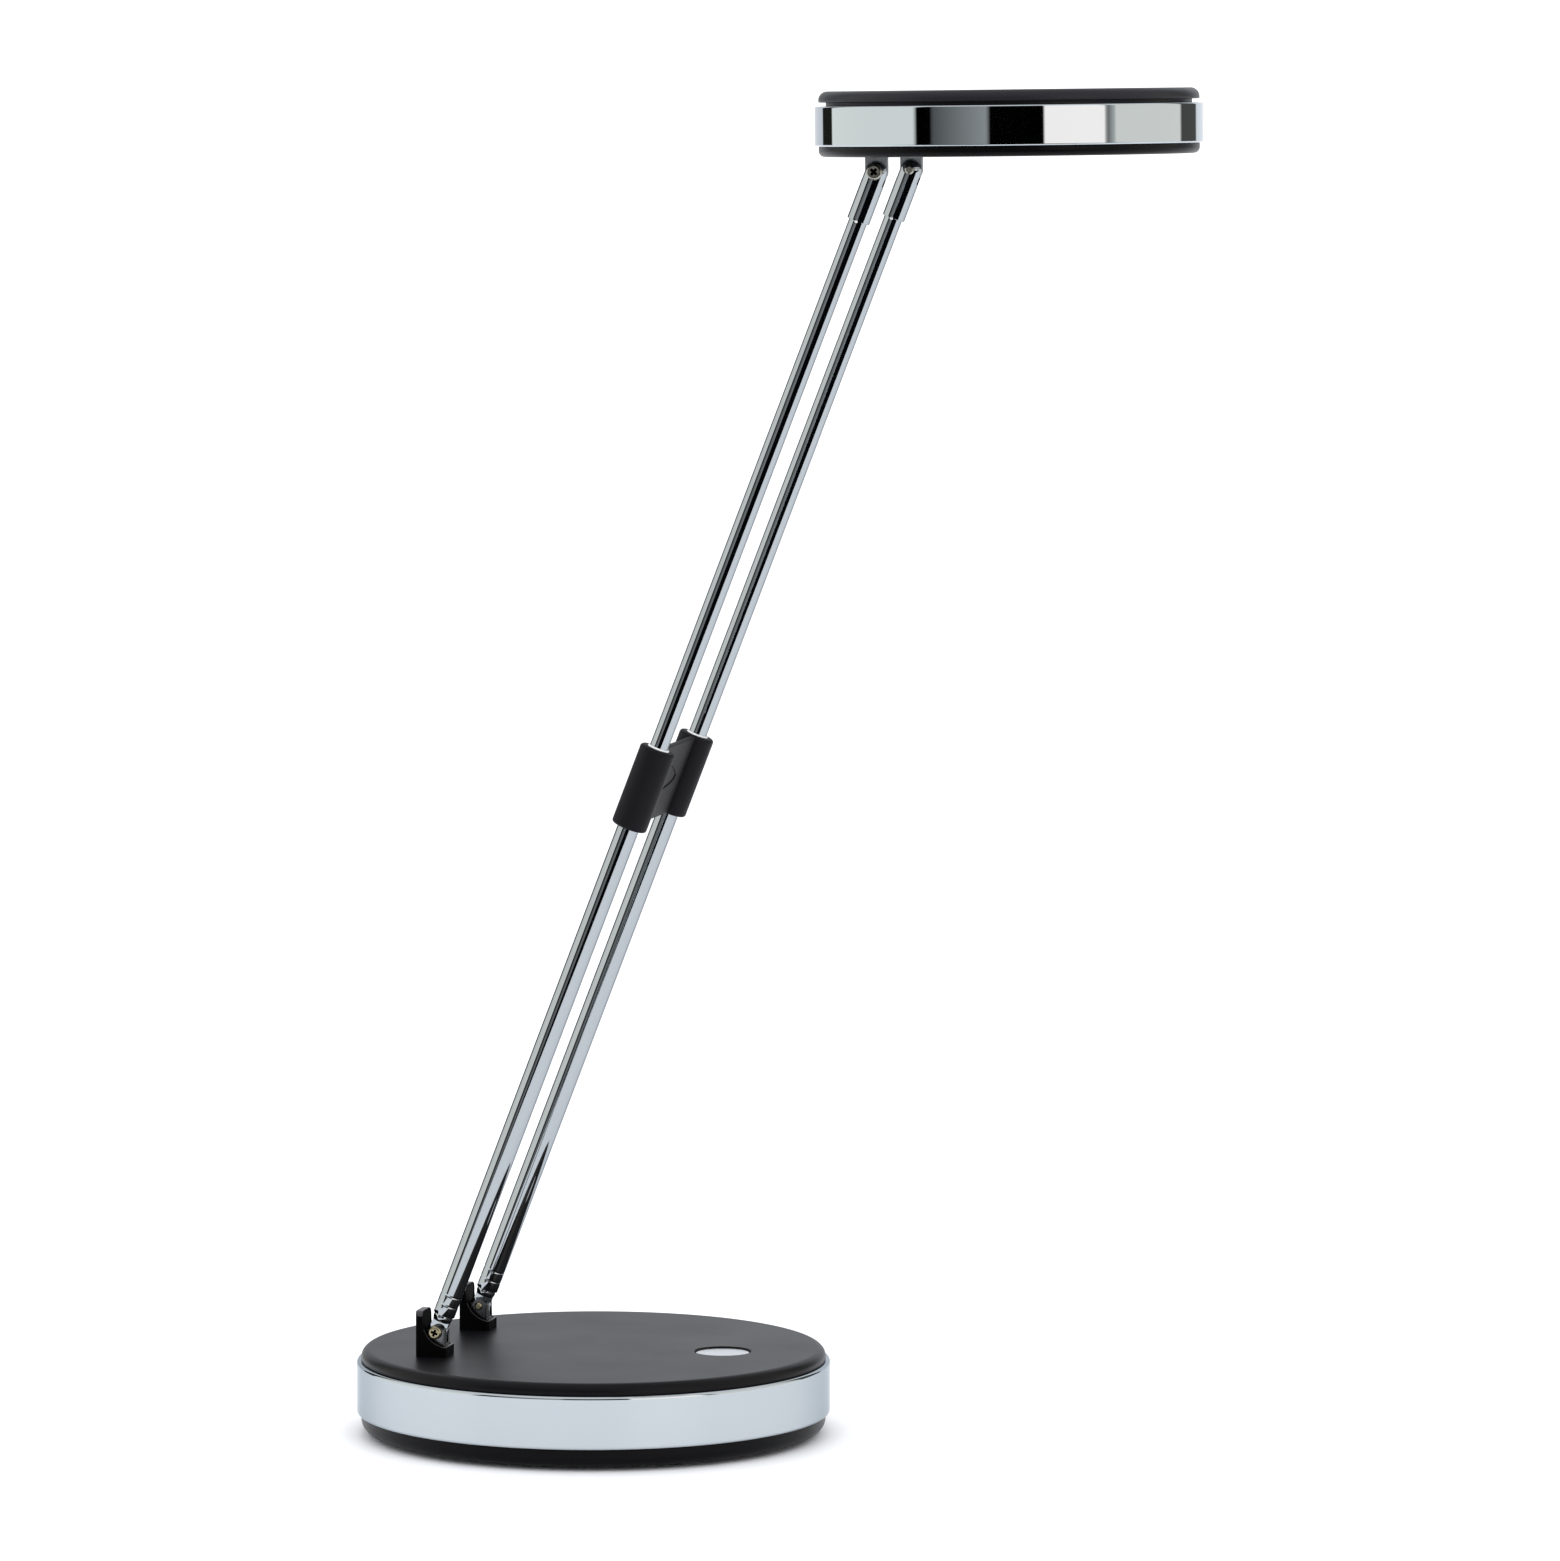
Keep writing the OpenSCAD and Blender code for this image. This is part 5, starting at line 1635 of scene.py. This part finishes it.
@dataclass
class Studio:
    """A white table in a white room with soft boxes and dark flags near the camera.

    The camera's lengths are in mm and its angles in degrees. view_depth, the table's front
    and half width and the soft box are in metres. band_above and below_table are heights of
    a mirrored direction of length 1: the plain ceiling fades in over the first, and what
    lies below the table over the second.
    """

    azimuth: float = 12.294
    elevation: float = 5.137
    distance: float = 2158.178
    target_right: float = 50.823
    target_up: float = 179.673
    focal_px: float = 7914.443
    roll: float = 0.117
    frame_px: float = 1561.0
    sensor: float = 36.0
    view_depth: float = 50.0
    table_front: float = 0.5
    table_half: float = 6.0
    table_colour: str = "#F5F6FA"
    table_roughness: float = 0.6
    table_gleam: float = 0.2
    table_grain_mm: float = 2.5
    table_relief_mm: float = 0.02
    room_light: float = 1.33
    ceiling: Colour = (1.0, 1.0, 1.02, 1.0)
    band_above: tuple[float, float] = (0.45, 0.7)
    below_table: tuple[float, float] = (-0.102, -0.118)
    below_colour: str = "#07080B"
    stripe_blend: float = 0.4
    box_size: tuple[float, float] = (1.6, 1.2)
    box_power: float = 9.0
    box_at: tuple[float, float, float] = (0.1, -0.2, 1.9)
    stripes: tuple[Stripe, ...] = (
        Stripe(-180, "#D4D6DB", 1.3),
        Stripe(-147, "#262623"),
        Stripe(-131.6, "#FAFAF3", 1.3),
        Stripe(-59, "#010101"),
        Stripe(-48, "#68696A", 1.0, "#B8B9B8"),
        Stripe(-14, "#010101"),
        Stripe(18.7, "#FFF5EE", 1.8),
        Stripe(57.5, "#6A6B6A", 1.0, "#E0E0DC"),
        Stripe(64, "#F6F2EA", 1.28),
        Stripe(121, "#5A5A56"),
        Stripe(145, "#E0E3E8", 1.36),
    )

    def camera(self) -> None:
        """Sets the camera where the photograph was taken from."""
        a, e, roll = (math.radians(v) for v in (self.azimuth, self.elevation, self.roll))
        back = Vector((math.sin(a) * math.cos(e), -math.cos(a) * math.cos(e), math.sin(e)))
        right = Vector((math.cos(a), math.sin(a), 0))
        up = back.cross(right)
        target = right * self.target_right + Vector((0, 0, self.target_up))
        rolled_right = right * math.cos(roll) + up * math.sin(roll)
        rolled_up = up * math.cos(roll) - right * math.sin(roll)
        data = bpy.data.cameras.new("studio_camera")
        data.sensor_width = self.sensor
        data.lens = self.focal_px * self.sensor / self.frame_px
        data.clip_end = self.view_depth
        camera = bpy.data.objects.new("studio_camera", data)
        bpy.context.scene.collection.objects.link(camera)
        axes = Matrix((rolled_right, rolled_up, back)).transposed().to_4x4()
        camera.matrix_world = Matrix.Translation((target + back * self.distance) * MM) @ axes
        bpy.context.scene.camera = camera

    def table(self) -> None:
        """A plain white table top whose front edge lies outside the camera's view."""
        size, front = self.table_half, -self.table_front
        mesh = bmesh.new()
        corners = [(-size, front), (size, front), (size, size), (-size, size)]
        mesh.faces.new([mesh.verts.new((x, y, 0)) for x, y in corners])
        top = as_object("studio_table", mesh, turn("Z", self.azimuth))
        made = bpy.data.materials.new("white_table_laminate")
        made.use_nodes = True
        tree = made.node_tree
        tree.nodes.clear()
        where = add_node(tree, "ShaderNodeTexCoord").outputs["Object"]
        inputs = {"Vector": where, "Scale": 1 / (self.table_grain_mm * MM)}
        grain = add_node(tree, "ShaderNodeTexNoise", inputs).outputs["Fac"]
        inputs = {"Height": grain, "Distance": self.table_relief_mm * MM}
        bump = add_node(tree, "ShaderNodeBump", inputs)
        shader = add_node(
            tree,
            "ShaderNodeBsdfPrincipled",
            {
                "Base Color": linear(self.table_colour),
                "Roughness": self.table_roughness,
                "Specular IOR Level": self.table_gleam,
                "Normal": bump.outputs["Normal"],
            },
        )
        add_node(tree, "ShaderNodeOutputMaterial", {"Surface": shader.outputs["BSDF"]})
        top.data.materials.append(made)

    def ring_of_stripes(self, tree: Tree, across: Socket, along: Socket) -> Socket:
        """The strips' colours by the direction that a mirror looks in.

        Args:
            tree: The world's node tree.
            across: How far the direction points to the camera's right.
            along: How far it points away from the camera.

        Returns:
            The colour's output socket.
        """
        front = add_node(tree, "ShaderNodeMath", {0: along, 1: -1.0}, operation="MULTIPLY")
        inputs = {0: across, 1: front.outputs["Value"]}
        angle = add_node(tree, "ShaderNodeMath", inputs, operation="ARCTAN2")
        inputs = {"Value": angle.outputs["Value"], "From Min": -math.pi, "From Max": math.pi}
        share = add_node(tree, "ShaderNodeMapRange", {**inputs, "To Min": 0.0, "To Max": 1.0})
        ramp = add_node(tree, "ShaderNodeValToRGB", {"Fac": share.outputs["Result"]})
        blend = self.stripe_blend / 360
        starts = [(stripe.start + 180) / 360 for stripe in self.stripes]
        stops: list[tuple[float, Colour]] = []
        for stripe, start, end in zip(self.stripes, starts, [*starts[1:], 1.0]):
            stops += zip((start + blend if start else 0.0, end - blend), stripe.radiance())
        points = ramp.color_ramp.elements
        while len(points) < len(stops):
            points.new(0.5)
        for point, (at, shade) in zip(points, stops):
            point.position, point.color = at, shade
        return ramp.outputs["Color"]

    def surroundings(self) -> None:
        """The white room: what mirrors see of it has soft boxes and dark flags."""
        world = bpy.data.worlds.new("white_studio")
        bpy.context.scene.world = world
        world.use_nodes = True
        tree = world.node_tree
        tree.nodes.clear()
        way = add_node(tree, "ShaderNodeTexCoord").outputs["Generated"]
        inputs = {"Vector": way, "Angle": -math.radians(self.azimuth)}
        faced = add_node(tree, "ShaderNodeVectorRotate", inputs, rotation_type="Z_AXIS")
        parts = add_node(
            tree, "ShaderNodeSeparateXYZ", {"Vector": faced.outputs["Vector"]}
        ).outputs
        seen = self.ring_of_stripes(tree, parts["X"], parts["Y"])
        for (start, end), shade, blend in (
            (self.band_above, self.ceiling, "SMOOTHSTEP"),
            (self.below_table, linear(self.below_colour), "LINEAR"),
        ):
            inputs = {"Value": parts["Z"], "From Min": start, "From Max": end}
            share = add_node(tree, "ShaderNodeMapRange", inputs, interpolation_type=blend)
            inputs = {"Factor": share.outputs["Result"], "A": seen, "B": shade}
            seen = add_node(tree, "ShaderNodeMix", inputs, data_type="RGBA").outputs["Result"]
        path = add_node(tree, "ShaderNodeLightPath").outputs
        plain = (self.room_light, self.room_light, self.room_light, 1.0)
        inputs = {"Factor": path["Is Glossy Ray"], "A": plain, "B": seen}
        lit = add_node(tree, "ShaderNodeMix", inputs, data_type="RGBA").outputs["Result"]
        sky = add_node(tree, "ShaderNodeBackground", {"Color": lit}).outputs["Background"]
        add_node(tree, "ShaderNodeOutputWorld", {"Surface": sky})

    def lamps(self) -> None:
        """One large soft box overhead, which gives the soft shadow under the base."""
        data = bpy.data.lights.new("overhead_soft_box", "AREA")
        data.shape, data.energy = "RECTANGLE", self.box_power
        data.size, data.size_y = self.box_size
        lamp = bpy.data.objects.new("overhead_soft_box", data)
        lamp.location = self.box_at
        lamp.visible_camera = False
        lamp.visible_glossy = False
        bpy.context.scene.collection.objects.link(lamp)

    def build(self) -> None:
        """Builds the studio and sets how the picture is developed."""
        self.table()
        self.surroundings()
        self.lamps()
        self.camera()
        bpy.context.scene.view_settings.view_transform = "Standard"


def main() -> None:
    """Builds the lamp round the CAD frame, then the studio."""
    logging.basicConfig(level=logging.INFO, format="%(message)s", stream=sys.stdout)
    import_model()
    rings = RingTree()
    BaseShell().build(rings)
    Controls().build()
    BaseHinge().build()
    LowerArms().build()
    ArmClip().build()
    UpperArms().build()
    LampHead().build(rings)
    Studio().build()


if __name__ == "__main__":
    main()
